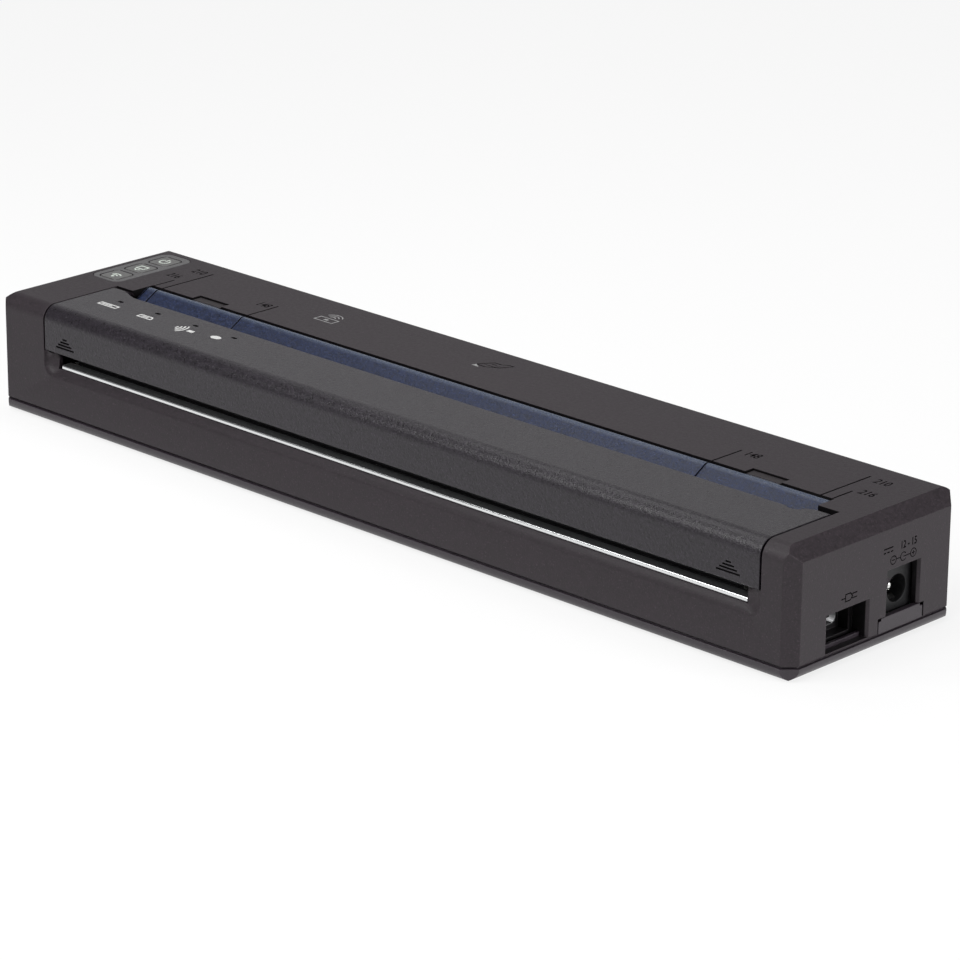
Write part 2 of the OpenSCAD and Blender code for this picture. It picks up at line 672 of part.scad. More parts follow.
module motor_pinion() color([0.83, 0.68, 0.35]) difference() {
    gear_wheel(pinion_teeth, gear_x1 - 7.7, gear_x1 - 4.4, motor_y, motor_z, large_dir + 180 / pinion_teeth);
    rod(gear_x1 - 9, gear_x1, motor_y, motor_z, 1);
}

// ---- print head ----

// lever that the cover's cam pushes, from the bracket up to the hinge
module head_lever(x, z0) along_x(x, x + 1.7) polygon([[head_y - 1.4, z0], [head_y + 0.4, z0],
    [hinge_y - 2.74, 22], [hinge_y - 2.74, top - 1.9], [hinge_y - 4.5, top - 1.9], [hinge_y - 4.5, 22]]);

module head_bracket() color([0.75, 0.76, 0.78]) difference() {
    union() {
        block(head_x0 - 0.8, head_x1, head_front, front + 16, 12.4, head_top - 1.25);
        // cooling fins
        for (i = [0:3]) block(head_x0, head_x1, head_front + 2.9 * i, head_front + 2.9 * i + 1.1, 9.4, 12.5);
        // pads for the springs
        for (x = spring_xs) block(x - 2.6, x + 2.6, platen_y - 3.1, platen_y + 2.1, 8.6, 12.5);
        // pivot ears
        for (x = [head_x0 - 0.8, path_shift - 44, path_shift + 40, head_x1 - 4]) along_x(x, x + 4)
            polygon(concat(arc(head_y, head_z, 2, -90, 0), [[head_y + 2, 12.5], [front + 12, 12.5],
                [front + 12, 10], [head_y - 1.4, head_z - 1.4]]));
        head_lever(head_x0 - 2.4, head_z - 0.6);
        block(head_x0 - 2.4, head_x0, head_y - 1.4, head_y - 0.5, 12.4, 14.9);
        head_lever(cover_x1 - ear_w - 0.05, 12.4);
        block(head_x1 - 1, cover_x1 - ear_w + 1.6, front + 14, front + 16, 12.4, 14.6);
    }
    rod(head_x0 - 4, head_x1 + 1, head_y, head_z, head_pin_r + running_play);
}

module head_ceramic() color([0.93, 0.92, 0.88])
    block(head_x0 + 1, head_x1 - 1, head_front, front + 14.1, head_top - 1.25, head_top);

module head_driver_cover() color([0.08, 0.08, 0.08]) along_x(head_x0 + 5, head_x1 - 5)
    polygon([[front + 12.5, head_top], [front + 12.9, head_top + 0.45],
        [front + 13.8, head_top + 0.45], [front + 14, head_top]]);

module head_pivot_pin() color(steel) rod(head_x0 - 5.2, head_x1 + 2.4, head_y, head_z, head_pin_r);

// compression spring as one unbroken round wire
module wire_coil(x, y, z0, z1, r, wire, turns) {
    rings = turns * 8;
    sides = 6;
    pts = [for (i = [0:rings], k = [0:sides - 1]) let (a = 45 * i, b = 360 * k / sides, q = r + wire * cos(b),
        z = z0 + wire + (z1 - z0 - 2 * wire) * i / rings)
        [x + q * cos(a), y + q * sin(a), z + wire * sin(b)]];
    skin = [for (i = [0:rings - 1], k = [0:sides - 1], h = [0, 1])
        let (a = i * sides + k, b = i * sides + (k + 1) % sides)
        h == 0 ? [a, b, b + sides] : [a, b + sides, a + sides]];
    ends = [for (k = [1:sides - 2]) [0, k + 1, k]];
    last = rings * sides;
    caps = [for (k = [1:sides - 2]) [last, last + k, last + k + 1]];
    polyhedron(pts, concat(skin, ends, caps));
}

module head_springs() color(steel) for (x = spring_xs)
    wire_coil(x, platen_y - 0.5, 2.6, 8.6, 1.8, 0.25, 5);

// ---- battery ----

module battery_pack() color([0.12, 0.13, 0.16]) {
    y = batt_side / 2;
    along_x(batt_x0, batt_x1) translate([batt_y, batt_z0 + y]) round_rect(-y, y, -y, y, 6);
}

module battery_contacts() color([0.83, 0.68, 0.35]) for (i = [-1:1])
    block(batt_x0 - 0.8, batt_x0, batt_y + 4 * i - 0.8, batt_y + 4 * i + 0.8, 6, 12);

module battery_door() color(lower_colour) difference() {
    union() {
        block(door_x0, door_x1, door_y0, rear - 3.3, sole, 1.7);
        for (k = door_knuckles) rod(k[0], k[1], door_hinge_y, door_hinge_z, door_knuckle_r);
        // stiffening ribs
        for (x = [door_x0 + 6:23:door_x1]) block(x, x + 1, door_y0 + 1, door_hinge_y - 3, 1.6, 2.1);
    }
    // notches for the case's lugs
    for (k = door_knuckles, x = [k[0] - 3.6, k[1]]) block(x, x + 3.6, door_hinge_y - 1.6, rear, 0, 3);
    for (k = door_knuckles) rod(k[0] - 1, k[1] + 1, door_hinge_y, door_hinge_z, door_pin_r + running_play);
    // snap tongue cut free on three sides, with a thumb hollow
    for (x = [2, 16.4]) block(x, x + 0.6, door_y0 - 1, door_y0 + 8, 0, 3);
    translate([9.5, door_y0 + 3, -9.2]) sphere(r = 10, $fn = 40);
}

module battery_door_pins() color(steel) for (k = door_knuckles)
    rod(k[0] - 3.3, k[1] + 3.3, door_hinge_y, door_hinge_z, door_pin_r);

// ---- boards, sockets and keys ----

module main_board() color(board_green) {
    difference() {
        block(batt_x0 + 3, batt_x1 - 3, rear - 22.6, rear - 2.9, 23.4, 24.6);
        for (x = [batt_x0 + 8, path_shift + 4, batt_x1 - 8]) post(x, rear - 5.5, 23, 25, 0.85);
    }
    // processor, memory, drivers and coils
    block(-12, 2, rear - 17, rear - 8, 24.6, 25.9);
    for (x = [12, 26]) block(x, x + 9, rear - 16, rear - 10, 24.6, 25.7);
    for (x = [50, 64, 78]) block(x, x + 7, rear - 18, rear - 11, 24.6, 27);
}

module wireless_module() color([0.7, 0.71, 0.72]) block(-62, -46, rear - 20, rear - 8, 24.6, 26.8);

module contactless_antenna() color([0.72, 0.45, 0.2]) along_z(deck_under - 0.25, deck_under) difference() {
    round_rect(-69, -39, rear - 21.2, rear - 5.2, 2);
    round_rect(-66, -42, rear - 18.2, rear - 8.2, 1);
}

module port_board() color(board_green) along_z(port_board_top - board_t, port_board_top) {
    x0 = head_x1 + 3.2;
    y1 = usb_y1 + 1.3;
    polygon([[x0, front + 11.5], [usb_face - 1.1, front + 11.5], [usb_face - 1.1, y1], [right - 2.9, y1],
        [right - 2.9, rear - 12], [x0 - 1.8, rear - 12], [x0 - 1.8, y1], [x0, y1]]);
}

module usb_socket() color(steel) translate([0, usb_y, usb_z]) difference() {
    along_x(usb_face - 6.6, usb_face + 0.4) round_rect(-4.47, 4.47, -usb_half_h, usb_half_h, 1.57);
    along_x(usb_face - 6, usb_face + 1) round_rect(-4.17, 4.17, -1.28, 1.28, 1.27);
}

module usb_tongue() color([0.12, 0.12, 0.12])
    block(usb_face - 6, usb_face - 0.4, usb_y - 3.35, usb_y + 3.35, usb_z - 0.35, usb_z + 0.35);

module dc_jack() color([0.13, 0.13, 0.14]) difference() {
    union() {
        block(jack_face - 1.5, jack_face, jack_y0 - 0.3, jack_y1 + 0.7, port_board_top, jack_z1 + 0.3);
        block(jack_face - 13.5, jack_face - 1.4, jack_y - 4.8, jack_y + 4.8, port_board_top, jack_z + 4.8);
    }
    rod(jack_face - 10, jack_face + 1, jack_y, jack_z, jack_r);
}

module dc_contacts() color(steel) {
    rod(jack_face - 10, jack_face - 1.6, jack_y, jack_z, 1);
    z = jack_z - jack_r + 0.25;
    block(jack_face - 9, jack_face - 0.9, jack_y - 1.2, jack_y + 1.2, z, z + 0.3);
}

module key_board() color(board_green) along_z(key_board_top - 1, key_board_top)
    round_rect(panel_x0 + 0.3, panel_x1 - 0.3, panel_y0 + 2.4, panel_y1 - 0.6, 0.6);

module key_switches() color([0.75, 0.76, 0.78]) for (i = [0:2]) {
    y = key_y0 + i * key_pitch;
    block(key_x - 1.6, key_x + 1.6, y - 1.6, y + 1.6, key_board_top, key_board_top + 0.6);
    post(key_x, y, key_board_top + 0.6, switch_top, 0.8);
}

// key cap with its plunger, i counted from the front
module key_cap(i) translate([key_x, key_y0 + i * key_pitch, 0]) {
    s = key_side / 2;
    along_z(deck_under + 0.1, top) round_rect(-s, s, -s, s, 1.1);
    along_z(deck_under - 1.1, deck_under + 0.2) round_rect(-2, 2, -2, 2, 0.5);
    post(0, 0, switch_top + key_travel + 0.1, deck_under - 1, 0.9);
}
module key_wireless() color([0.3, 0.3, 0.31]) key_cap(0);
module key_feed() color([0.3, 0.3, 0.31]) key_cap(1);
module key_power() color([0.3, 0.3, 0.31]) key_cap(2);

module control_panel() color([0.27, 0.27, 0.28]) difference() {
    along_z(top - panel_t, top)
        round_rect(panel_x0 + 0.1, panel_x1 - 0.1, panel_y0 + 0.1, panel_y1 - 0.1, 2.9);
    h = key_side / 2 + key_gap;
    for (i = [0:2]) along_z(top - 2, top + 1) translate([key_x, key_y0 + i * key_pitch])
        round_rect(-h, h, -h, h, 1.3);
}

// ---- fasteners and feet ----

module case_screws() color(steel) for (x = [-screw_x, screw_x], y = [-screw_y, screw_y]) {
    post(x, y, 0.6, 1.5, 1.9);
    post(x, y, 1.4, 9.5, screw_r);
}

module board_screws() color(steel) for (x = [batt_x0 + 8, path_shift + 4, batt_x1 - 8]) {
    post(x, rear - 5.5, 22.6, 23.4, 1.5);
    post(x, rear - 5.5, 23.3, 27, 0.75);
}

feet = [[left + 15.5, front + 7], [right - 14.5, front + 7], [left + 19.5, rear - 7], [right - 13, rear - 7]];
module rubber_feet() color([0.1, 0.1, 0.1]) for (f = feet)
    along_z(0, 0.8) round_rect(f[0] - 4, f[0] + 4, f[1] - 2.5, f[1] + 2.5, 1);

upper_case();
lower_case();
feed_guide();
tear_bar();
control_panel();
release_cover();
indicator_board();
indicator_lamps();
cover_hinge_pins();
left_frame();
platen_bushes();
platen_rubber();
platen_shaft();
platen_gear();
reduction_gear();
gear_post();
motor_body();
motor_shaft();
motor_pinion();
head_bracket();
head_ceramic();
head_driver_cover();
head_pivot_pin();
head_springs();
battery_pack();
battery_contacts();
battery_door();
battery_door_pins();
main_board();
wireless_module();
contactless_antenna();
port_board();
usb_socket();
usb_tongue();
dc_jack();
dc_contacts();
key_board();
key_switches();
key_power();
key_feed();
key_wireless();
paper_sensor();
case_screws();
board_screws();
rubber_feet();
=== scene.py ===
import math
import bmesh
import bpy
from mathutils import Matrix, Vector


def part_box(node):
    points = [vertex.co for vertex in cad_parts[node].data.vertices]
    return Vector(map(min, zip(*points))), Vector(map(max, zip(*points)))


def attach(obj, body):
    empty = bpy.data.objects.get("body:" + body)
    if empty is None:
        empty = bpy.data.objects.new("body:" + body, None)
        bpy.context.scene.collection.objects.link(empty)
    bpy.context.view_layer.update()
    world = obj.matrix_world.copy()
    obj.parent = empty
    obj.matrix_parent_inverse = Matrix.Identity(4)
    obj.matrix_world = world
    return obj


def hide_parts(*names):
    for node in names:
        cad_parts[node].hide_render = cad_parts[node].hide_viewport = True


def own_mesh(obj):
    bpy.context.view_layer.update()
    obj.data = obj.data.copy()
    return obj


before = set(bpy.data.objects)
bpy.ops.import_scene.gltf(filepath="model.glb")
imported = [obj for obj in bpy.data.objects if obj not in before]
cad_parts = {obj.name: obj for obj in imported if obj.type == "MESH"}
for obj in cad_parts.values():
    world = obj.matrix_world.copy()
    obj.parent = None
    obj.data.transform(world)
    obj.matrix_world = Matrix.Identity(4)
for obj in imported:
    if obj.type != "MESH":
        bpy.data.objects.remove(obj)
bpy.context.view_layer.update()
MM = 0.001

# ---- Upper case ----
# The upper shell is one injection moulding in brown-black plastic, screwed to the lower one. Its
# mould is spark eroded, which leaves a fine even grain, and ribs in the mould leave the paper
# marks, sheet widths and socket signs as shallow grooves.


def box_mm(node_name):
    """The low and the high corner of a CAD node, in millimetres."""
    return [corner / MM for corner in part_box(node_name)]


def placed(name, data):
    """A new object in the scene."""
    made = bpy.data.objects.new(name, data)
    bpy.context.scene.collection.objects.link(made)
    return made


def to_object(bm, name):
    """An object that holds the bmesh."""
    mesh = bpy.data.meshes.new(name)
    bm.to_mesh(mesh)
    bm.free()
    return placed(name, mesh)


def rejoined(mesh):
    """A bmesh of a mesh, with its flat faces made whole again."""
    bm = bmesh.new()
    bm.from_mesh(mesh)
    bmesh.ops.remove_doubles(bm, verts=bm.verts, dist=2e-6)
    bmesh.ops.dissolve_degenerate(bm, dist=1e-6, edges=bm.edges)
    bmesh.ops.dissolve_limit(bm, angle_limit=math.radians(0.3), verts=bm.verts, edges=bm.edges)
    return bm


def outcome(piece):
    """The mesh that an object's modifiers or letters come to."""
    depsgraph = bpy.context.evaluated_depsgraph_get()
    return bpy.data.meshes.new_from_object(piece.evaluated_get(depsgraph))


def cut(piece, cutter_mesh):
    """Cuts closed shapes out of the piece."""
    cutter = to_object(cutter_mesh, "cutter")
    step = piece.modifiers.new("cut", "BOOLEAN")
    step.operation = "DIFFERENCE"
    step.solver = "EXACT"
    step.use_self = True
    step.object = cutter
    bm = rejoined(outcome(piece))
    piece.modifiers.clear()
    bpy.data.objects.remove(cutter)
    bm.to_mesh(piece.data)
    bm.free()


def finish_piece(piece, body, slot_name, materials, smooth_angle=32, edge_mm=0.0, pick=None,
                 instead_of=None):
    """Paints and shades a piece that rides on a body, in place of a CAD node if one is named.
    edge_mm breaks its sharp edges; pick(centre in mm, normal) numbers a face's material."""
    mesh = piece.data
    mesh.materials.clear()
    for material in materials if isinstance(materials, list) else [materials]:
        mesh.materials.append(material)
    for face in mesh.polygons:
        face.material_index = int(pick(face.center / MM, face.normal)) if pick else 0
    if edge_mm:
        broken = piece.modifiers.new("broken edges", "BEVEL")
        broken.width = edge_mm * MM
        broken.segments = 2
        broken.limit_method = "ANGLE"
        broken.angle_limit = math.radians(40)
        smooth_angle = 60
    mesh.polygons.foreach_set("use_smooth", [True] * len(mesh.polygons))
    mesh.set_sharp_from_angle(angle=math.radians(smooth_angle))
    piece.modifiers.new("flat faces", "WEIGHTED_NORMAL").keep_sharp = True
    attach(piece, body)
    if instead_of:
        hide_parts(instead_of)
    return piece


def carried(node_name, body, slot_name, materials, smooth_angle=32, cutter_mesh=None, **finish):
    """A finished copy of a CAD node, with the cutter's shapes cut out of it if there is one."""
    name = node_name + ("_moulding" if cutter_mesh else "_finished")
    piece = to_object(rejoined(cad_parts[node_name].data), name)
    if cutter_mesh:
        cut(piece, cutter_mesh)
    finish_piece(piece, body, slot_name, materials, smooth_angle, instead_of=node_name, **finish)


def add_block(bm, low, high, turn=Matrix.Identity(4)):
    """Adds a box between two corners in millimetres; turn is applied about its middle."""
    centre = [(a + b) / 2 * MM for a, b in zip(low, high)]
    size = [(b - a) * MM for a, b in zip(low, high)]
    place = Matrix.Translation(centre) @ turn @ Matrix.Diagonal((*size, 1))
    bmesh.ops.create_cube(bm, size=1, matrix=place)


def add_points(bm, points, place=Matrix.Identity(4)):
    """Adds vertices at points in millimetres."""
    return [bm.verts.new(place @ (Vector(point) * MM)) for point in points]


def skin(bm, rings, closed=False):
    """Covers rings of vertices that follow each other, and caps both ends or joins them."""
    count = len(rings[0])
    pairs = zip(rings, rings[1:] + rings[:1]) if closed else zip(rings, rings[1:])
    faces = [bm.faces.new((a[k], a[(k + 1) % count], b[(k + 1) % count], b[k]))
             for a, b in pairs for k in range(count)]
    if not closed:
        faces += [bm.faces.new(rings[0][::-1]), bm.faces.new(rings[-1])]
    bmesh.ops.recalc_face_normals(bm, faces=faces)


def add_stroke(bm, points, width, low, high, place=Matrix.Identity(4)):
    """Adds a line of even width through flat points in millimetres, as a solid from low to high.
    place turns and shifts the drawing."""
    corners = [Vector(point) for point in points]
    closed = corners[0] == corners[-1]
    if closed:
        corners.pop()
    runs = [(b - a).normalized() for a, b in zip(corners, corners[1:] + corners[:1])]
    sharpest = 0.4
    rims = []
    for i, corner in enumerate(corners):
        before = runs[i - 1] if i or closed else runs[0]
        after = runs[i] if i < len(corners) - 1 or closed else before
        way = (before + after).normalized()
        side = Vector((-way.y, way.x)) * (width / 2 / max(sharpest, way.dot(after)))
        left, right = corner - side, corner + side
        rim = [(*left, low), (*right, low), (*right, high), (*left, high)]
        rims.append(add_points(bm, rim, place))
    skin(bm, rims, closed)


def bow(x, y, radius, start, end, count=12):
    """Points on an arc, with its angles in degrees."""
    angles = [math.radians(start + (end - start) * i / count) for i in range(count + 1)]
    return [(x + radius * math.cos(a), y + radius * math.sin(a)) for a in angles]


def looped(points):
    """The points with the first one again at the end, for a closed line."""
    return points + points[:1]


def oval(x, y, wide, tall, count=20):
    """Points round an oval with two half widths."""
    angles = [2 * math.pi * i / count for i in range(count)]
    return [(x + wide * math.cos(a), y + tall * math.sin(a)) for a in angles]


def add_number(bm, words, height, low, high, place, squeeze):
    """Adds a number centred on the drawing's origin, as a solid from low to high."""
    digit_share = 0.7  # of the letter size, which also holds the room under the line
    curve = bpy.data.curves.new("number", "FONT")
    curve.body = words
    curve.size = height / digit_share * MM
    curve.align_x = "CENTER"
    curve.align_y = "CENTER"
    curve.extrude = (high - low) / 2 * MM
    curve.offset = 0.05 * MM
    curve.resolution_u = 3
    holder = placed("number", curve)
    bpy.context.view_layer.update()
    mesh = outcome(holder)
    bpy.data.objects.remove(holder)
    lift = Matrix.Translation((0, 0, (low + high) / 2 * MM))
    mesh.transform(place @ lift @ Matrix.Diagonal((squeeze, 1, 1, 1)))
    bm.from_mesh(mesh)
    bmesh.ops.remove_doubles(bm, verts=bm.verts, dist=1e-6)
    bpy.data.meshes.remove(mesh)


def at(x, y, z):
    """A shift in millimetres."""
    return Matrix.Translation(Vector((x, y, z)) * MM)


def plug(tree, target, value):
    """Joins an output to an input, or sets the input to a plain value."""
    if isinstance(value, bpy.types.NodeSocket):
        tree.links.new(value, target)
    else:
        target.default_value = value


def fill(tree, made, **inputs):
    """Fills a node's inputs by name; each is a value or the output it is joined to."""
    for name, value in inputs.items():
        plug(tree, made.inputs[name.replace("_", " ")], value)
    return made


def node(tree, kind, **inputs):
    """Adds a shader node and fills its inputs."""
    return fill(tree, tree.nodes.new("ShaderNode" + kind), **inputs)


def maths(tree, operation, a, b=0.0, clamp=False):
    """One step of arithmetic on values or outputs."""
    made = node(tree, "Math")
    made.operation = operation
    made.use_clamp = clamp
    plug(tree, made.inputs[0], a)
    plug(tree, made.inputs[1], b)
    return made.outputs[0]


def scaled(tree, value, gain, start, clamp=False):
    """value * gain + start."""
    return maths(tree, "ADD", maths(tree, "MULTIPLY", value, gain), start, clamp)


def stretched(tree, value, middle, gain, offset=0.5):
    """Contrast: (value - middle) * gain + offset, kept between 0 and 1."""
    return scaled(tree, maths(tree, "SUBTRACT", value, middle), gain, offset, True)


def mixed(tree, share, a, b):
    """A colour mix of a and b; each is a colour or an output."""
    made = node(tree, "Mix")
    made.data_type = "RGBA"
    plug(tree, made.inputs[0], share)
    for i, colour in ((6, a), (7, b)):
        plug(tree, made.inputs[i], (*colour, 1) if isinstance(colour, tuple) else colour)
    return made.outputs[2]


def shaded(colour, gain):
    """A colour made darker or lighter."""
    return tuple(c * gain for c in colour)


def object_place(tree):
    """Coordinates that stay fixed on the piece, in metres."""
    return node(tree, "TexCoord").outputs["Object"]


def noise(tree, place, scale, detail=2.0, roughness=0.5):
    """A cloudy pattern with scale lumps to the metre."""
    made = node(tree, "TexNoise", Vector=place, Scale=scale, Detail=detail, Roughness=roughness)
    return made.outputs[0]


def relief(tree, shader, height, depth, strength, **under):
    """Raises the surface by a height from 0 to 1 times a depth in millimetres."""
    bump = node(tree, "Bump", Strength=strength, Distance=depth * MM, Height=height, **under)
    plug(tree, shader.inputs["Normal"], bump.outputs[0])


def new_group(name, inputs, **outputs):
    """An empty node group, with the outputs of its start and the inputs of its end."""
    group = bpy.data.node_groups.new(name, "ShaderNodeTree")
    for label, value in inputs.items():
        made = group.interface.new_socket(name=label, in_out="INPUT", socket_type="NodeSocketFloat")
        made.default_value = value
    for label, kind in outputs.items():
        group.interface.new_socket(name=label, in_out="OUTPUT", socket_type="NodeSocket" + kind)
    start, end = group.nodes.new("NodeGroupInput"), group.nodes.new("NodeGroupOutput")
    return group, start.outputs, end.inputs


def spark_grain_group():
    """Fine even grain of a spark-eroded mould: its tone, glint and height."""
    group, given, end = new_group("spark grain", {"Grains per metre": 3200.0},
                                  Tone="Float", Glint="Float", Height="Float")
    place = object_place(group)
    pits = noise(group, place, given[0], roughness=0.7)
    lumps = noise(group, place, maths(group, "MULTIPLY", given[0], 0.45))
    cloud = noise(group, place, 60.0, 3.0)
    tone = scaled(group, cloud, 0.15, scaled(group, stretched(group, lumps, 0.5, 2.6), 0.4, 0.0))
    plug(group, end[0], scaled(group, stretched(group, pits, 0.5, 2.6), 0.45, tone))
    plug(group, end[1], maths(group, "MULTIPLY", maths(group, "SUBTRACT", pits, 0.6), 5.0, True))
    plug(group, end[2], scaled(group, pits, 0.6, maths(group, "MULTIPLY", lumps, 0.4)))
    return group


def soft_edges_group():
    """Rounds sharp edges in the shading, and marks them for a painted highlight that lightens them.
    """
    group, given, end = new_group("soft edges", {"Radius": 0.0003}, Edge="Float", Normal="Vector")
    rounded = node(group, "Bevel", Radius=given[0])
    rounded.samples = 6
    flat = node(group, "NewGeometry").outputs["Normal"]
    likeness = node(group, "VectorMath")
    likeness.operation = "DOT_PRODUCT"
    plug(group, likeness.inputs[0], rounded.outputs[0])
    plug(group, likeness.inputs[1], flat)
    bend = maths(group, "SUBTRACT", 1.0, likeness.outputs["Value"])
    plug(group, end[0], maths(group, "MULTIPLY", bend, 5.0, True))
    plug(group, end[1], rounded.outputs[0])
    return group


spark_grain = spark_grain_group()
soft_edges = soft_edges_group()


def use_group(tree, group, **inputs):
    """Places a node group in a material, and gives its outputs."""
    made = node(tree, "Group")
    made.node_tree = group
    return fill(tree, made, **inputs).outputs


def new_material(name):
    """A new material with its node tree and its shader."""
    material = bpy.data.materials.new(name)
    material.use_nodes = True
    tree = material.node_tree
    return material, tree, tree.nodes["Principled BSDF"]


def grained_plastic(name, colour, roughness=0.5, contrast=0.4, gloss=0.3, grains=2600.0, depth=0.02,
                    edge_mm=0.3, edge_highlight_gain=1.9):
    """Moulded plastic with spark grain. The colour is linear, depth is in mm as edge_mm is."""
    material, tree, shader = new_material(name)
    grain = use_group(tree, spark_grain, Grains_per_metre=grains)
    edges = use_group(tree, soft_edges, Radius=edge_mm * MM)
    tint = mixed(tree, grain["Tone"], shaded(colour, 1 - contrast), shaded(colour, 1 + contrast))
    # bright grains lighten the colour as painted glints of light, and they are smoother as well
    tint = mixed(tree, grain["Glint"], tint, shaded(colour, 1 + 3.2 * contrast))
    # sharp edges are lightened by edge_highlight_gain as a painted highlight
    tint = mixed(tree, maths(tree, "MULTIPLY", edges["Edge"], 0.7), tint, shaded(colour, edge_highlight_gain))
    rough = scaled(tree, grain["Glint"], -0.12, scaled(tree, grain["Tone"], 0.2, roughness - 0.1))
    fill(tree, shader, Base_Color=tint, Roughness=rough, Specular_IOR_Level=gloss)
    relief(tree, shader, grain["Height"], depth, 1.0, Normal=edges["Normal"])
    return material


case_high = box_mm("upper_case")[1]
end_face, deck = case_high[0], case_high[2]
guide_low, guide_high = box_mm("feed_guide")
paper_middle = (guide_low[0] + guide_high[0]) / 2
deck_edge = 2.9  # front edge of the deck, over the ramp
engraved = (deck - 0.22, deck + 1)
half_line = 0.23  # half the width of a paper mark
digit_height = 2.7

marks = bmesh.new()
# paper marks: a pair of lines for each sheet width, and the width in millimetres by the line's end
sheet_lines = []
for sheet_width, reach, line_end, numbers in (
        (210, 105.1, 19.7, ((-104.8, 18.6), (113.8, 18.1))),
        (216, 108.3, 9.6, ((-107.0, 12.2), (115.8, 10.5))),
        (148, 74.3, 12.9, ((-73.5, 11.3), (82.4, 11.9)))):
    beside_the_ramp = reach > guide_high[0] - paper_middle + 0.2
    start = -8.0 if beside_the_ramp else deck_edge - 1
    for x in (paper_middle - reach, paper_middle + reach):
        sheet_lines.append(x)
        add_block(marks, (x - half_line, start, engraved[0]),
                  (x + half_line, line_end, engraved[1]))
    for x, y in numbers:
        add_number(marks, str(sheet_width), digit_height, *engraved, at(x, y, 0), 0.72)
# sheet sign in front of the middle: a leaning page with a turned corner
page = [(-5.2, 14.9), (-2.6, 18.6), (-0.4, 18.6), (1.2, 19.6), (2.6, 19.6), (0.9, 16.6),
        (-2.2, 14.9)]
for width, line in ((0.34, looped(page)), (0.26, [(-3.4, 16.2), (-0.4, 16.2), (0.4, 17.4)]),
                    (0.26, [(-2.4, 17.5), (-0.8, 17.5)])):
    add_stroke(marks, line, width, *engraved)

# signs on the end face, drawn with X to the rear and Y up
end_sign = Matrix(((0, 0, 1, 0), (1, 0, 0, 0), (0, 1, 0, 0), (0, 0, 0, 1)))
sunk = (end_face - 0.2, end_face + 1)
row_z, ring, minus_x, contact_x, plus_x = 19.4, 0.95, 5.4, 8.75, 12.1
for width, line in (
        # a plug with two blades over the small socket
        (0.3, [(-11.6, 15.0), (-10.3, 15.0)]),
        (0.28, looped([(-10.2, 14.2), (-10.2, 15.8), (-8.6, 15.8), (-7.9, 15.0), (-8.6, 14.2)])),
        (0.28, [(-8.1, 15.5), (-6.4, 15.5)]),
        (0.28, [(-8.1, 14.5), (-6.4, 14.5)]),
        # direct current
        (0.32, [(2.0, 22.5), (5.2, 22.5)]),
        *((0.3, [(x, 21.6), (x + 0.8, 21.6)]) for x in (2.0, 3.2, 4.4)),
        # polarity: minus and plus in rings, the open contact, and the lines between them
        *((0.22, looped(oval(x, row_z, ring, ring))) for x in (minus_x, plus_x)),
        *((0.22, [(x - 0.5, row_z), (x + 0.5, row_z)]) for x in (minus_x, plus_x)),
        (0.22, bow(contact_x, row_z, ring, 35, 325)),
        (0.2, [(6.4, row_z), (7.75, row_z)]),
        (0.2, [(contact_x, row_z), (11.1, row_z)])):
    add_stroke(marks, line, width, *sunk, end_sign)
# the plus sign's upright, and the voltage as a plain number
add_block(marks, (sunk[0], 11.99, 18.9), (sunk[1], 12.21, 19.9))
add_number(marks, "12 - 15", 1.7, *sunk, end_sign @ at(10.4, 22.0, 0), 0.8)

upper_plastic = grained_plastic("upper case plastic", (0.0170, 0.0115, 0.0154), 0.55, contrast=0.5,
                                gloss=0.42, grains=2300.0, depth=0.06)
# grooves, cut walls and narrow gaps are coloured near black as painted shade inside them
groove_painted_shade = grained_plastic("cut marks", (0.0035, 0.0030, 0.0035), 0.6, gloss=0.08, depth=0.01,
                             edge_highlight_gain=1.2)
# the smooth walls of the socket windows are coloured dark as painted shade, with a strong painted
# highlight on their edges
window_wall_painted_shade = grained_plastic("upper case inside", (0.007, 0.006, 0.007), 0.42, gloss=0.35,
                                grains=1800.0, edge_highlight_gain=5.0)

floor_facing, wall_facing = 0.9999, 0.2  # a groove's floor faces outwards more, its walls less
opening_side, opening_front, opening_foot = 119, -9, 23
windows_y, window_low, window_high = ((-17.4, -2.4), (0.5, 16.6)), 3.6, 17.6


def case_face(centre, normal):
    """2 for the grooves and the walls of the opening over the ramp, which are coloured near black
    as painted shade, 1 for the smooth walls of the two socket windows in the right end, which are
    coloured dark as painted shade, and 0 for the grained outside."""
    on_deck = engraved[0] - 0.02 < centre.z < deck - 0.03
    if on_deck and (normal.z > floor_facing or abs(normal.z) < wall_facing):
        return 2
    on_end = sunk[0] - 0.02 < centre.x < end_face - 0.03 and 13.5 < centre.z < 24
    if on_end and (normal.x > floor_facing or abs(normal.x) < wall_facing):
        return 2
    over_ramp = abs(centre.x) < opening_side and opening_front < centre.y < deck_edge + 3
    if over_ramp and opening_foot < centre.z < deck - 0.05 and abs(normal.z) < 0.3:
        return 2
    in_window = any(front < centre.y < rear for front, rear in windows_y)
    return in_window and window_low < centre.z < window_high and 118 < centre.x < end_face - 0.65


carried("upper_case", "housing", "case_upper", [upper_plastic, window_wall_painted_shade, groove_painted_shade], 28,
        cutter_mesh=marks, pick=case_face)

# ---- Printed signs on the deck ----
# The contactless spot and the arrow of the sheet sign are screen printed in pale grey ink, straight
# on the grained face of the moulding.


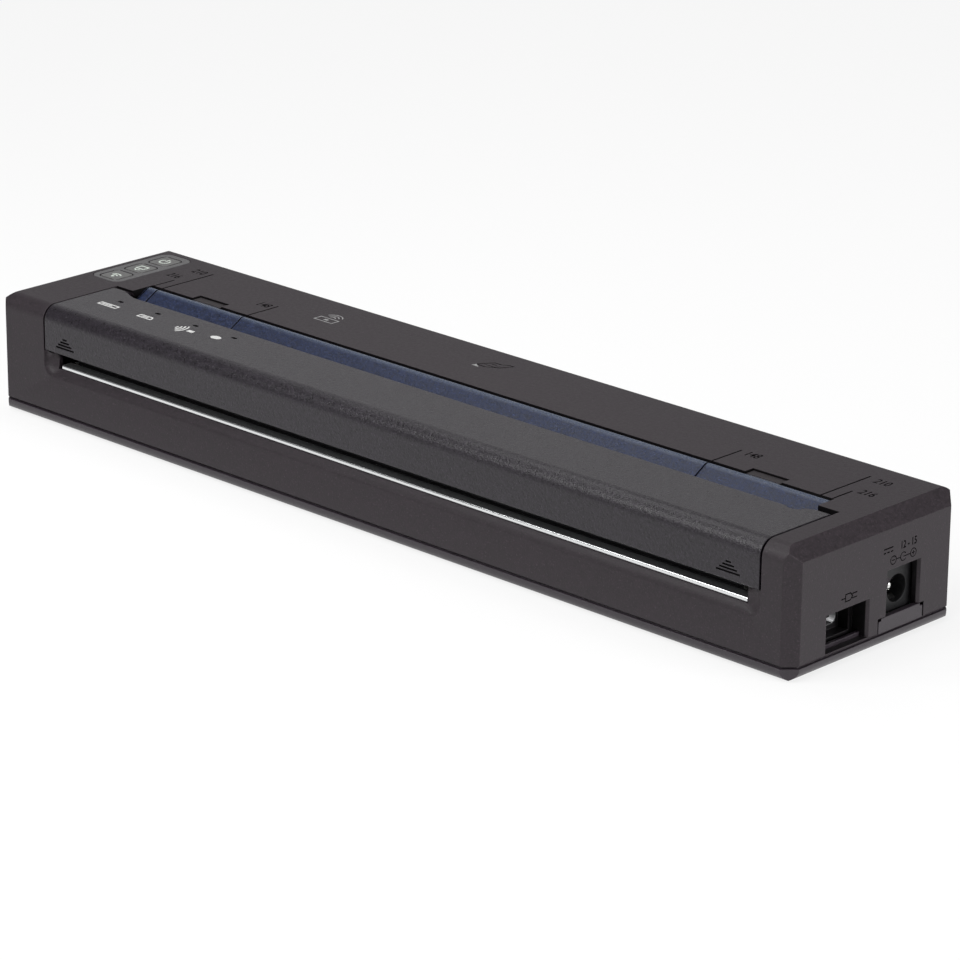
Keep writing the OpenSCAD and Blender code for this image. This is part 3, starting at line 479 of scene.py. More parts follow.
def mottled(name, dark, light, scale, roughness, detail=2.0, stretch=(1, 1, 1), depth=0.0,
            strength=0.5):
    """A finish whose colour, roughness and relief follow one noise, drawn out by stretch."""
    material, tree, shader = new_material(name)
    drawn = node(tree, "Mapping", Vector=object_place(tree), Scale=stretch)
    cloud = noise(tree, drawn.outputs[0], scale, detail)
    fill(tree, shader, Base_Color=mixed(tree, cloud, dark, light),
         Roughness=scaled(tree, cloud, 0.2, roughness))
    if depth:
        relief(tree, shader, cloud, depth, strength)
    return material


def printed(name, colour):
    """Screen printing ink: an even coat with slightly ragged density."""
    return mottled(name, shaded(colour, 0.8), colour, 2600.0, 0.4, depth=0.004, strength=0.4)


def add_plate(bm, outline, low, high):
    """Adds a flat shape with an outline in millimetres, as a solid from low to high."""
    skin(bm, [add_points(bm, [(x, y, h) for x, y in outline]) for h in (low, high)])


def oblong(left, front, right, rear):
    """The corners of a rectangle."""
    return [(left, front), (left, rear), (right, rear), (right, front)]


ink = (deck - 0.02, deck + 0.02)
waves_x, waves_y = -54.2, 15.4
deck_print = bmesh.new()
add_stroke(deck_print, looped(oblong(-57.2, 12.6, -51.2, 15.0)), 0.32, *ink)
for radius in (1.0, 1.9, 2.8):
    add_stroke(deck_print, bow(waves_x, waves_y, radius, 30, 150, 8), 0.3, *ink)
add_plate(deck_print, oblong(-54.9, 13.4, -53.6, 14.2), *ink)
add_plate(deck_print, [(-5.5, 13.8), (-3.2, 13.8), (-5.1, 15.1)], *ink)
grey_ink = printed("grey ink", (0.26, 0.26, 0.26))
finish_piece(to_object(deck_print, "deck_print"), "housing", "panel", grey_ink)

# ---- Lower case ----
# The lower shell is the tray that carries the works, screwed up against the upper one. It is
# moulded in the same plastic with a smoother finish, so its rounded lower edges catch more light,
# and its colour is painted lighter than the upper shell's as a painted sheen.
lower_sheen_plastic = grained_plastic("lower case plastic", (0.022, 0.016, 0.022), 0.42, gloss=0.55,
                                grains=2400.0, depth=0.03)
carried("lower_case", "housing", "case_lower", lower_sheen_plastic, 28)

# ---- Release cover ----
# The cover over the platen is moulded like the case but with a coarser grain, whose brighter glints
# are painted, and turns on two pins. Four small oval lights shine through it, with white printed
# signs in front of them.
cover_plastic = grained_plastic("release cover plastic", (0.0128, 0.0100, 0.0142), 0.33,
                                contrast=0.8, gloss=0.42, depth=0.16)
push_marks = (-102.55, 109.8)
lamp_y, sign_y = -11.75, -15.6


def cover_cut(centre, normal):
    """Floors of the push marks on the cover's front, and walls of the four ovals, which get painted
    shade.
    """
    on_mark = min(abs(centre.x - x) for x in push_marks) < 3.5
    on_mark = on_mark and 20.4 < centre.z < 23.5 and -27.45 < centre.y < -26.9
    in_oval = -102 < centre.x < -57 and abs(centre.y - lamp_y) < 0.7
    return on_mark or (in_oval and 28.2 < centre.z < deck - 0.1)


carried("release_cover", "release_cover", "release_cover", [cover_plastic, groove_painted_shade], 28,
        pick=cover_cut)
lamp_low, lamp_high = box_mm("indicator_lamps")
lamp_radius = 0.8
lamp_step = (lamp_high[0] - lamp_low[0] - 2 * lamp_radius) / 3
power_x, sheet_x, radio_x, spot_x = (lamp_low[0] + lamp_radius + lamp_step * i for i in range(4))
sign_low, sign_high = sign_y - 0.7, sign_y + 0.7
sign_line = 0.42  # width of a printed line
cover_print = bmesh.new()
# power: a bar in a long frame
frame_line = looped(oblong(power_x - 3.2, sign_low, power_x + 3.0, sign_high))
add_stroke(cover_print, frame_line, sign_line, *ink)
add_plate(cover_print, oblong(power_x - 2.6, sign_y - 0.2, power_x + 1.2, sign_y + 0.25), *ink)
# sheet: a page with a slanting corner and a line on it
page = looped([(sheet_x - 2.4, sign_low), (sheet_x - 2.4, sign_high), (sheet_x + 1.6, sign_high),
               (sheet_x + 2.2, sign_y), (sheet_x + 2.2, sign_low)])
add_stroke(cover_print, page, sign_line, *ink)
add_stroke(cover_print, [(sheet_x - 1.6, sign_y), (sheet_x + 0.8, sign_y)], 0.4, *ink)
# radio waves and the block that they reach
for radius in (0.8, 1.7, 2.6, 3.5):
    add_stroke(cover_print, bow(radio_x - 3.2, sign_y, radius, -42, 42, 6), sign_line, *ink)
add_plate(cover_print, oblong(radio_x + 1.4, sign_y - 0.6, radio_x + 3.4, sign_y + 0.6), *ink)
# a filled spot beside its light
add_plate(cover_print, oval(spot_x - 3.4, sign_y + 1.1, 1.6, 1.0, 18), *ink)
white_ink = printed("white ink", (0.66, 0.66, 0.65))
finish_piece(to_object(cover_print, "cover_print"), "release_cover", "panel", white_ink)

# ---- Indicator lights ----
# Small clear lenses on a circuit board, clipped up inside the cover. They are off, and their colour
# is painted dark as the shade inside the ovals.
lens_painted_shade = mottled("clear lens", (0.006, 0.007, 0.007), (0.014, 0.015, 0.015), 1500.0, 0.15)
carried("indicator_lamps", "release_cover", "lamp", lens_painted_shade, edge_mm=0.12)


def board_traces_group():
    """Copper tracks with bends and pads, as they show under solder mask."""
    group, _, end = new_group("board traces", {}, Track="Float", Pad="Float")
    place = object_place(group)
    bends = node(group, "TexVoronoi", Vector=place, Scale=160.0)
    bends.distance = "CHEBYCHEV"
    across = node(group, "SeparateXYZ", Vector=place).outputs["Y"]
    shifted = scaled(group, bends.outputs["Distance"], 0.004, across)
    wave = maths(group, "SINE", maths(group, "MULTIPLY", shifted, 7000.0))
    plug(group, end[0], maths(group, "GREATER_THAN", wave, 0.25))
    spots = node(group, "TexVoronoi", Vector=place, Scale=420.0, Randomness=0.6)
    plug(group, end[1], maths(group, "LESS_THAN", spots.outputs["Distance"], 0.16))
    return group


board_traces = board_traces_group()


def circuit_board(name, mask):
    """Solder mask of one colour over tin-plated tracks."""
    material, tree, shader = new_material(name)
    traces = use_group(tree, board_traces)
    tint = mixed(tree, traces["Track"], mask, shaded(mask, 1.7))
    fill(tree, shader, Base_Color=mixed(tree, traces["Pad"], tint, (0.60, 0.55, 0.42)),
         Metallic=traces["Pad"], Roughness=scaled(tree, traces["Track"], -0.1, 0.42))
    relief(tree, shader, traces["Track"], 0.03, 0.6)
    return material


green_board = circuit_board("green circuit board", (0.008, 0.060, 0.026))
carried("indicator_board", "release_cover", "circuit_board", green_board)

# ---- Feed guide ----
# The ramp that leads the sheet down to the platen is a separate dark blue moulding, clipped under
# the deck. Its crest is rounded and polished by paper, and the sheet lines run on over it.
ramp_cuts = bmesh.new()
slope = math.radians(31)
crest_y, crest_z, crest_round = 1.3, 28.65, 1.3
down_ramp, half_run, half_depth = 6, 6.6, 0.5  # of the sheet lines, along the slope and into it
for x in sheet_lines:
    if guide_low[0] < x < guide_high[0] - 10:
        left, right = x - half_line, x + half_line
        add_block(ramp_cuts, (left, -1.5, guide_high[2] - 0.2), (right, 4, guide_high[2] + 1))
        lift = crest_round + 0.3
        y = crest_y - down_ramp * math.cos(slope) - lift * math.sin(slope)
        z = crest_z - down_ramp * math.sin(slope) + lift * math.cos(slope)
        add_block(ramp_cuts, (left, y - half_run, z - half_depth),
                  (right, y + half_run, z + half_depth), Matrix.Rotation(slope, 4, "X"))
hooks = (guide_low[0] + 14.8, guide_high[0] - 24.4)
hook_middle = 4.8
for x in hooks:
    add_block(ramp_cuts, (x - 1, deck_edge - 0.35, deck - 0.8), (x + 11, deck_edge, deck + 1))
guide_plastic = grained_plastic("feed guide plastic", (0.0082, 0.0140, 0.0410), 0.42, contrast=0.9,
                                gloss=0.38, depth=0.16, edge_highlight_gain=2.6, edge_mm=0.45)
hook_plastic = grained_plastic("hook plastic", (0.0150, 0.0115, 0.0135), 0.6, gloss=0.4,
                               grains=1700.0, depth=0.04)


def over_tint(tree, shader, share, colour):
    """Mixes a colour over the shader's own."""
    own = shader.inputs["Base Color"].links[0].from_socket
    fill(tree, shader, Base_Color=mixed(tree, share, own, colour))


# paper polishes the crest, which lowers its roughness; its lighter tint is a painted highlight
# along its whole length
tree = guide_plastic.node_tree
shader = tree.nodes["Principled BSDF"]
height = node(tree, "SeparateXYZ", Vector=object_place(tree)).outputs["Z"]
crest_highlight = stretched(tree, height, (guide_high[2] - 0.32) * MM, 2200.0)
over_tint(tree, shader, maths(tree, "MULTIPLY", crest_highlight, 0.55), (0.075, 0.095, 0.140))
own_roughness = shader.inputs["Roughness"].links[0].from_socket
fill(tree, shader, Roughness=scaled(tree, crest_highlight, -0.16, own_roughness))


def guide_face(centre, normal):
    """2 for the hooks' tops, 1 for the sheet lines and the gap before each hook, which get painted
    shade, else 0.
    """
    if centre.z > deck - 1.1 and min(abs(centre.x - hook_middle - x) for x in hooks) < 6:
        if centre.y > deck_edge - 0.01:
            return 2
        if centre.y > deck_edge - 0.37 and centre.z < deck - 0.4:
            return 1
    return min(abs(centre.x - x) for x in sheet_lines) < half_line + 0.02


carried("feed_guide", "housing", "feed_guide", [guide_plastic, groove_painted_shade, hook_plastic], 28,
        cutter_mesh=ramp_cuts, pick=guide_face)

# ---- Tear bar ----
# A straight strip of stainless steel lies on the shelf of the exit slot. Its rolled nose is
# polished and its top shows the rolling lines of the sheet, which run along it.


def metal(name, colour, roughness, along="X", lines=2400.0, streak=0.16):
    """Bare metal with fine lines from rolling, turning or brushing along one axis."""
    material, tree, shader = new_material(name)
    stretch = tuple(0.02 if axis == along else 1.0 for axis in "XYZ")
    place = object_place(tree)
    drawn = node(tree, "Mapping", Vector=place, Scale=stretch)
    fine = noise(tree, drawn.outputs[0], lines, 3.0, 0.65)
    stain = maths(tree, "MULTIPLY", noise(tree, place, 90.0, 3.0), 0.25)
    tint = mixed(tree, fine, shaded(colour, 1 - streak), colour)
    fill(tree, shader, Base_Color=mixed(tree, stain, tint, shaded(colour, 0.7)), Metallic=1.0,
         Roughness=scaled(tree, fine, 0.14, roughness - 0.07))
    relief(tree, shader, fine, 0.006, 0.5)
    return material


nose_steel = metal("polished steel strip", (0.86, 0.87, 0.88), 0.22)
# the top faces are coloured darker than the nose as painted shade; their rougher finish is the
# rolled face's own
bar_top_painted_shade = metal("rolled steel face", (0.62, 0.63, 0.65), 0.42)
carried("tear_bar", "housing", "steel", [nose_steel, bar_top_painted_shade], 60,
        pick=lambda centre, normal: normal.z > 0.95)

# ---- Control panel and keys ----
# The panel is a thin satin plate let into the deck, with three square keys that stand flush in it.
# The signs are printed pale on the caps: wireless in front, paper feed in the middle, power behind.
satin = {"gloss": 0.6, "grains": 3400.0, "depth": 0.006, "edge_mm": 0.25}
panel_plastic = grained_plastic("panel plastic", (0.036, 0.034, 0.037), 0.34, contrast=0.14,
                                edge_highlight_gain=2.2, **satin)
key_plastic = grained_plastic("key plastic", (0.062, 0.061, 0.060), 0.36, contrast=0.12,
                              edge_highlight_gain=1.8, **satin)
sign_ink = printed("pale sign ink", (0.60, 0.66, 0.60))
carried("control_panel", "housing", "panel", panel_plastic, edge_mm=0.22)
for name in ("power", "feed", "wireless"):
    carried("key_" + name, name + "_key", "key_plastic", key_plastic, edge_mm=0.28)
    low, high = box_mm("key_" + name)
    x, y = (low[0] + high[0]) / 2, (low[1] + high[1]) / 2
    sign = bmesh.new()
    if name == "power":
        add_stroke(sign, bow(x, y - 0.1, 1.35, -235, 55, 18), sign_line, *ink)
        add_stroke(sign, [(x, y + 0.2), (x, y + 1.75)], sign_line, *ink)
    elif name == "feed":
        add_stroke(sign, looped(oblong(x - 1.3, y - 0.4, x + 1.3, y + 1.5)), 0.4, *ink)
        add_stroke(sign, [(x - 0.9, y - 1.1), (x, y - 1.8), (x + 0.9, y - 1.1)], 0.4, *ink)
    else:
        for radius in (1.1, 2.0):
            add_stroke(sign, bow(x, y - 1.3, radius, 40, 140, 8), sign_line, *ink)
        add_plate(sign, oval(x, y - 1.3, 0.45, 0.45, 12), *ink)
    finish_piece(to_object(sign, name + "_sign"), name + "_key", "key_plastic", sign_ink)

# ---- Key switches ----
# Three tact switches, each a sheet-steel frame with a black actuator. They are soldered on one
# narrow board under the keys.
black_plastic = grained_plastic("black glass-filled plastic", (0.012, 0.012, 0.013), 0.45,
                                grains=3000.0, depth=0.01)
switch_steel = metal("switch frame", (0.62, 0.62, 0.60), 0.3)
switch_frame_top = 25.25
carried("key_switches", "housing", "motor_can", [switch_steel, black_plastic], edge_mm=0.1,
        pick=lambda centre, normal: centre.z > switch_frame_top)
carried("key_board", "housing", "circuit_board", green_board)

# ---- Hinge pins of the cover ----
# Turned steel pins, pressed into the end walls of the well. The cover's ears turn on them.
shaft_steel = metal("ground steel", (0.66, 0.67, 0.69), 0.26)
carried("cover_hinge_pins", "housing", "steel", shaft_steel, 60)

# ---- Platen ----
# The roller is silicone rubber moulded on a ground steel shaft, and then ground itself, which
# leaves fine rings round it. Two bushes carry the shaft, and paper dust clings to the rubber.
rubber = mottled("ground roller rubber", (0.014, 0.014, 0.015), (0.034, 0.034, 0.035), 3800.0, 0.55,
                 stretch=(1.0, 0.05, 0.05), depth=0.015, strength=0.6)
tree = rubber.node_tree
dust = noise(tree, object_place(tree), 220.0, 4.0)
over_tint(tree, tree.nodes["Principled BSDF"], stretched(tree, dust, 0.62, 2.0, 0.0),
          (0.075, 0.074, 0.072))
carried("platen_rubber", "platen", "platen_rubber", rubber, 40)
carried("platen_shaft", "platen", "steel", shaft_steel, 60)

# ---- Gears ----
# Injection-moulded acetal wheels, cream white and slightly waxy, and a hobbed brass pinion. The
# side frame of zinc-plated sheet carries the post that the middle wheel turns on.
acetal = grained_plastic("acetal", (0.62, 0.60, 0.54), 0.38, contrast=0.05, gloss=0.5, grains=900.0,
                         depth=0.006, edge_highlight_gain=1.15)
carried("platen_gear", "platen", "gear_plastic", acetal, 35)
carried("reduction_gear", "reduction_gear", "gear_plastic", acetal, 35)
carried("platen_bushes", "housing", "gear_plastic", acetal, 60)
brass = metal("hobbed brass", (0.78, 0.58, 0.25), 0.24, lines=1500.0)
carried("motor_pinion", "motor_rotor", "brass", brass, 35)
carried("gear_post", "housing", "steel", shaft_steel, 60)
sheet_steel = metal("zinc-plated sheet", (0.60, 0.61, 0.60), 0.34, along="Z", lines=900.0)
carried("left_frame", "housing", "steel", sheet_steel, edge_mm=0.12)

# ---- Motor ----
# A small stepper motor in a drawn steel can with a satin nickel finish. Its boss sits in the side
# frame, and its steel shaft runs in the boss.
can_steel = metal("satin nickel can", (0.56, 0.56, 0.54), 0.36, lines=1300.0)
carried("motor_body", "housing", "motor_can", can_steel, edge_mm=0.3)
carried("motor_shaft", "motor_rotor", "steel", shaft_steel, 60)

# ---- Print head ----
# The head is a glazed ceramic strip glued on an extruded aluminium bracket with cooling fins. A
# dark line of heaters runs along the glaze under the platen, and black resin covers its chips.
aluminium = metal("extruded aluminium", (0.74, 0.75, 0.76), 0.32, lines=2000.0, streak=0.1)
# the bracket's front faces in the exit slot are coloured black as painted shade
painted_shade_y, platen_y = -21, -17.5
carried("head_bracket", "print_head", "head_aluminium", [aluminium, black_plastic], edge_mm=0.15,
        pick=lambda centre, normal: normal.y < -0.5 and centre.y < painted_shade_y)
glaze, tree, shader = new_material("glazed ceramic")
place = object_place(tree)
parts = node(tree, "SeparateXYZ", Vector=place).outputs
off_the_nip = maths(tree, "ABSOLUTE", maths(tree, "SUBTRACT", parts["Y"], platen_y * MM))
heaters = maths(tree, "LESS_THAN", off_the_nip, 0.22 * MM)
leads = maths(tree, "SINE", maths(tree, "MULTIPLY", parts["X"], 25000.0))
leads = maths(tree, "MULTIPLY", maths(tree, "GREATER_THAN", leads, 0.0),
              maths(tree, "GREATER_THAN", parts["Y"], (platen_y + 0.5) * MM))
fired = noise(tree, place, 300.0, 3.0)
tint = mixed(tree, fired, (0.66, 0.65, 0.61), (0.80, 0.79, 0.75))
tint = mixed(tree, maths(tree, "MULTIPLY", leads, 0.6), tint, (0.50, 0.42, 0.24))
fill(tree, shader, Base_Color=mixed(tree, heaters, tint, (0.05, 0.045, 0.05)),
     Roughness=scaled(tree, fired, 0.1, 0.08))
relief(tree, shader, heaters, 0.01, 0.3)
carried("head_ceramic", "print_head", "ceramic", [glaze, black_plastic], 28,
        pick=lambda centre, normal: normal.y < -0.3)
carried("head_driver_cover", "print_head", "black_plastic", black_plastic, 60)
carried("head_pivot_pin", "housing", "steel", shaft_steel, 60)

# ---- Head springs ----
# Three compression springs of round spring wire push the head up to the platen. They stand in round
# seats in the lower shell, with their ends closed and lying flat. In the real printer they shorten
# as the head drops; here each keeps one length.
spring_low, spring_high = box_mm("head_springs")
wire, coil_radius, turns = 0.25, 1.8, 5.5
turn_steps, wire_sides, flat_share = 22, 8, 0.1
inset = coil_radius + wire
spring_y = (spring_low[1] + spring_high[1]) / 2
bottom, top = spring_low[2] + wire, spring_high[2] - wire
wire_ring = oval(coil_radius, 0, wire, wire, wire_sides)
steps = int(turns * turn_steps)
for i, x in enumerate((spring_low[0] + inset, paper_middle, spring_high[0] - inset)):
    spring = bmesh.new()
    hoops = []
    for step in range(steps + 1):
        share = step / steps
        rise = min(max((share - flat_share) / (1 - 2 * flat_share), 0), 1)
        z = bottom + (top - bottom) * rise
        turn = 2 * math.pi * turns * share
        c, s = math.cos(turn), math.sin(turn)
        hoop = [(x + r * c, spring_y + r * s, z + h) for r, h in wire_ring]
        hoops.append(add_points(spring, hoop))
    skin(spring, hoops)
    coil = finish_piece(to_object(spring, "head_spring_%d" % (i + 1)), "housing", "steel",
                        shaft_steel, 60, instead_of="head_springs")
    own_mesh(coil)

# ---- Battery pack ----
# Three lithium cells stand end to end in a shrunk sleeve, held by the fit of their bay. The film
# pulls in where the cells meet and at both ends, and gilt contacts touch the pack's end.
pack_low, pack_high = box_mm("battery_pack")
length = pack_high[0] - pack_low[0]
half = (pack_high[2] - pack_low[2]) / 2
pack_y, pack_z = (pack_low[1] + pack_high[1]) / 2, (pack_low[2] + pack_high[2]) / 2
pack_steps, pack_sides, corner_power = 132, 48, 4.2
waist_depth, waist_reach, end_depth, end_reach = 0.55, 1.6, 2.4, 1.4
film_share, corner_share = 0.985, 1.17  # of half the sleeve's height, at its flats and corners
pack = bmesh.new()
sections = []
for step in range(pack_steps + 1):
    share = step / pack_steps
    cell = share * 3 % 1.0
    to_joint = min(cell, 1 - cell) * length / 3
    inside = 0.02 < share < 0.98
    waist = waist_depth * math.exp(-(to_joint / waist_reach) ** 2) if inside else 0.0
    to_end = min(share, 1 - share) * length
    waist += end_depth * (1 - min(1.0, to_end / end_reach)) ** 2
    ring = []
    for k in range(pack_sides):
        turn = 2 * math.pi * k / pack_sides
        c, s = math.cos(turn), math.sin(turn)
        wide = (abs(c) ** corner_power + abs(s) ** corner_power) ** (-1 / corner_power)
        reach = min(min(wide, corner_share) * film_share, 1 / max(abs(c), abs(s))) * half - waist
        ring.append((pack_low[0] + length * share, pack_y + reach * c, pack_z + reach * s))
    sections.append(add_points(pack, ring))
skin(pack, sections)
film = mottled("shrink film", (0.010, 0.022, 0.055), (0.022, 0.045, 0.105), 420.0, 0.16, detail=3.0,
               stretch=(0.25, 1.0, 1.0), depth=0.08, strength=0.7)
finish_piece(to_object(pack, "battery_pack_finished"), "housing", "battery_wrap", film, 60,
             instead_of="battery_pack")
gilt = metal("gilt contact", (0.86, 0.66, 0.30), 0.22, along="Z")
carried("battery_contacts", "housing", "brass", gilt, edge_mm=0.15)

# ---- Battery door ----
# A ribbed lid in the tray's plastic, tilted about two pins at the rear. A tongue cut free on three
# sides snaps it shut, with grip lines beside it and an arrow that shows which way it opens.
door_low = box_mm("battery_door")[0]
door_front, sole = door_low[1], door_low[2]
under = (sole - 1, sole + 0.2)
door_marks = bmesh.new()
for left in (22.5, -10.5):
    for i in range(5):
        y = door_front + 2.2 + i * 1.1
        add_block(door_marks, (left, y, under[0]), (left + 7, y + 0.45, under[1]))
arrow = [(7.7, door_front + 13.2), (9.5, door_front + 10.8), (11.3, door_front + 13.2)]
add_plate(door_marks, arrow, *under)
carried("battery_door", "battery_door", "case_lower", lower_sheen_plastic, 28, cutter_mesh=door_marks)
carried("battery_door_pins", "housing", "steel", shaft_steel, 60)

# ---- Circuit boards ----
# Fibreglass boards with green solder mask over tin-plated tracks. The black blocks are moulded
# chips and coils, and a tinned steel shield covers the wireless module.
chip = mottled("moulded chips", (0.010, 0.010, 0.011), (0.028, 0.028, 0.029), 2600.0, 0.5,
               depth=0.01)
board_top = 24.65
carried("main_board", "housing", "circuit_board", [green_board, chip], edge_mm=0.1,
        pick=lambda centre, normal: centre.z > board_top)
carried("port_board", "housing", "circuit_board", green_board)
shield_steel = metal("tinned shield", (0.68, 0.68, 0.66), 0.3, along="Y", lines=1100.0)
carried("wireless_module", "housing", "motor_can", shield_steel, edge_mm=0.25)

# ---- Contactless aerial ----
# A flat coil of copper tracks on plastic film. It is stuck under the deck, below the printed spot.
coil_copper, tree, shader = new_material("coil tracks")
parts = node(tree, "SeparateXYZ", Vector=object_place(tree)).outputs
coil_low, coil_high = box_mm("contactless_antenna")
past_edge = []
for i, axis in enumerate("XY"):
    centre, reach = (coil_low[i] + coil_high[i]) / 2, (coil_high[i] - coil_low[i]) / 2
    from_centre = maths(tree, "ABSOLUTE", maths(tree, "SUBTRACT", parts[axis], centre * MM))
    past_edge.append(maths(tree, "SUBTRACT", from_centre, reach * MM))
wave = maths(tree, "SINE", maths(tree, "MULTIPLY", maths(tree, "MAXIMUM", *past_edge), 10500.0))
track = maths(tree, "GREATER_THAN", wave, -0.2)
fill(tree, shader, Base_Color=mixed(tree, track, (0.20, 0.09, 0.02), (0.72, 0.36, 0.18)),
     Metallic=track, Roughness=scaled(tree, track, -0.2, 0.5))
relief(tree, shader, track, 0.03, 0.6)
carried("contactless_antenna", "housing", "copper", coil_copper)

# ---- Small socket ----
# A drawn steel shell with a black tongue that carries the gilt contacts. It is soldered on the port
# board and sits deep in its recess.
# the shell's steel is coloured far darker than bare steel as painted shade deep in its recess
socket_shell_painted_shade = metal("drawn socket shell", (0.20, 0.20, 0.205), 0.42)
carried("usb_socket", "housing", "steel", socket_shell_painted_shade, 60)
carried("usb_tongue", "housing", "black_plastic", black_plastic, edge_mm=0.08)
tongue_low, tongue_high = box_mm("usb_tongue")
pad_step = (tongue_high[1] - tongue_low[1] - 2.3) / 7
pads = bmesh.new()
for i in range(8):
    y = tongue_low[1] + 1.0 + i * pad_step
    for low, high in ((tongue_high[2] - 0.01, tongue_high[2] + 0.05),
                      (tongue_low[2] - 0.05, tongue_low[2] + 0.01)):
        add_block(pads, (tongue_high[0] - 3.6, y, low), (tongue_high[0] - 0.5, y + 0.3, high))
finish_piece(to_object(pads, "usb_contacts"), "housing", "brass", gilt)

# ---- Power jack ----
# The jack's plate fills its window and is moulded in the case's plastic, with a black bore. Its
# tinned centre pin and sprung side contact are fixed at the bottom of the bore.
jack_face = box_mm("dc_jack")[1][0]
bore_y, bore_z, bore_radius = 9.95, 11.2, 3.15


def jack_inside(centre, normal):
    """All of the jack behind its plate's face, and the wall of the bore."""
    from_bore = math.hypot(centre.y - bore_y, centre.z - bore_z)
    return centre.x < jack_face - 0.05 or from_bore < bore_radius - 0.1


def spun(bm, profile, axis, steps, cent=(0, 0, 0)):
    """Turns a line of points in millimetres round an axis into a closed shape."""
    line = add_points(bm, profile)
    edges = [bm.edges.new(pair) for pair in zip(line, line[1:])]
    bmesh.ops.spin(bm, geom=line + edges, cent=Vector(cent) * MM, axis=axis, angle=2 * math.pi,
                   steps=steps, use_merge=True)
    bmesh.ops.remove_doubles(bm, verts=bm.verts, dist=1e-6)
    bmesh.ops.recalc_face_normals(bm, faces=bm.faces)
    return bm


carried("dc_jack", "housing", "jack_plastic", [upper_plastic, black_plastic], 28, pick=jack_inside)
pin_steel = metal("tinned contact", (0.88, 0.88, 0.86), 0.12)
contact_low, contact_high = box_mm("dc_contacts")
rear, leaf_tip = contact_low[0], contact_high[0]
pin_tip = leaf_tip - 0.7
pin_profile = [(x, bore_y + radius, bore_z) for x, radius in (
    (rear, 0.0), (rear, 1.0), (pin_tip - 0.5, 1.0), (pin_tip - 0.2, 0.88), (pin_tip - 0.05, 0.6),
    (pin_tip, 0.0))]
pin = spun(bmesh.new(), pin_profile, (1, 0, 0), 28, (0, bore_y, bore_z))
contact = bmesh.new()
leaf = [(rear + 1, -2.9), (rear + 4, -2.75), (rear + 6.5, -2.3), (leaf_tip - 1.2, -2.1),
        (leaf_tip - 0.45, -2.85)]
upright = Matrix(((1, 0, 0, 0), (0, 0, 1, 0), (0, 1, 0, bore_z * MM), (0, 0, 0, 1)))
add_stroke(contact, leaf, 0.22, bore_y - 1.2, bore_y + 1.2, upright)
for bm, name in ((pin, "jack_pin"), (contact, "jack_leaf")):
    finish_piece(to_object(bm, name), "housing", "contact_metal", pin_steel, 50,
                 instead_of="dc_contacts")

# ---- Paper sensor ----
# A black infrared pair in one moulded housing. It is glued behind the window in the ramp, where the
# sheet passes.
carried("paper_sensor", "housing", "black_plastic", black_plastic, edge_mm=0.15)

# ---- Screws ----
# Zinc-plated self-tapping screws with a cross recess: four hold the shells together from below, and
# three smaller ones hold the main board. Each kind is turned and cut once and copied.
screw_zinc = metal("zinc-plated screw", (0.62, 0.62, 0.58), 0.28, along="Z", lines=1500.0)


def screw_mesh(head_radius, head_height, shank_radius, length):
    """A screw with its head down: the head's face at Z 0, the shank upwards."""
    core = shank_radius * 0.8
    shank_length = length - head_height
    profile = [(0.0, 0.0), (head_radius * 0.78, 0.0), (head_radius * 0.94, head_height * 0.18),
               (head_radius, head_height * 0.45), (head_radius, head_height), (core, head_height)]
    pitch = 0.8
    threads = int(shank_length / pitch)
    for i in range(threads):
        foot = head_height + 0.3 + i * (shank_length - 1.2) / threads
        profile += [(core, foot), (shank_radius, foot + 0.2), (core, foot + 0.4)]
    profile += [(shank_radius * 0.75, length - 0.7), (0.0, length)]
    made = to_object(spun(bmesh.new(), [(r, 0, z) for r, z in profile], (0, 0, 1), 24), "screw")
    recess = bmesh.new()
    reach, width = head_radius * 0.55, head_radius * 0.2
    for a, b in ((reach, width), (width, reach)):
        rings = [[(x * taper, y * taper, z) for x, y in oblong(-a, -b, a, b)]
                 for taper, z in ((1.0, -0.1), (0.55, head_height * 0.75))]
        skin(recess, [add_points(recess, ring) for ring in rings])
    cut(made, recess)
    mesh = made.data
    bpy.data.objects.remove(made)
    return mesh


def place_screws(node_name, mesh, places):
    """Copies a screw to places in millimetres."""
    for i, spot in enumerate(places):
        copy = mesh.copy()
        copy.transform(at(*spot))
        piece = placed("%s_%d" % (node_name, i + 1), copy)
        finish_piece(piece, "housing", "steel", screw_zinc, 35, instead_of=node_name)


low, high = box_mm("case_screws")
rim = 1.9
place_screws("case_screws", screw_mesh(rim, 0.9, 1.0, high[2] - low[2]),
             [(x, y, low[2]) for x in (low[0] + rim, high[0] - rim)
              for y in (low[1] + rim, high[1] - rim)])
low, high = box_mm("board_screws")
rim, middle_x, row_y = 1.5, 8.15, (low[1] + high[1]) / 2
place_screws("board_screws", screw_mesh(rim, 0.8, 0.75, high[2] - low[2]),
             [(x, row_y, low[2]) for x in (low[0] + rim, middle_x, high[0] - rim)])

# ---- Feet ----
# Four pads of black rubber, moulded with a fine pebble. They are glued into seats in the tray.
foot_rubber = grained_plastic("foot rubber", (0.016, 0.016, 0.017), 0.7, contrast=0.3, gloss=0.25,
                              grains=1500.0, depth=0.05, edge_highlight_gain=1.6)
carried("rubber_feet", "housing", "foot_rubber", foot_rubber, edge_mm=0.2)

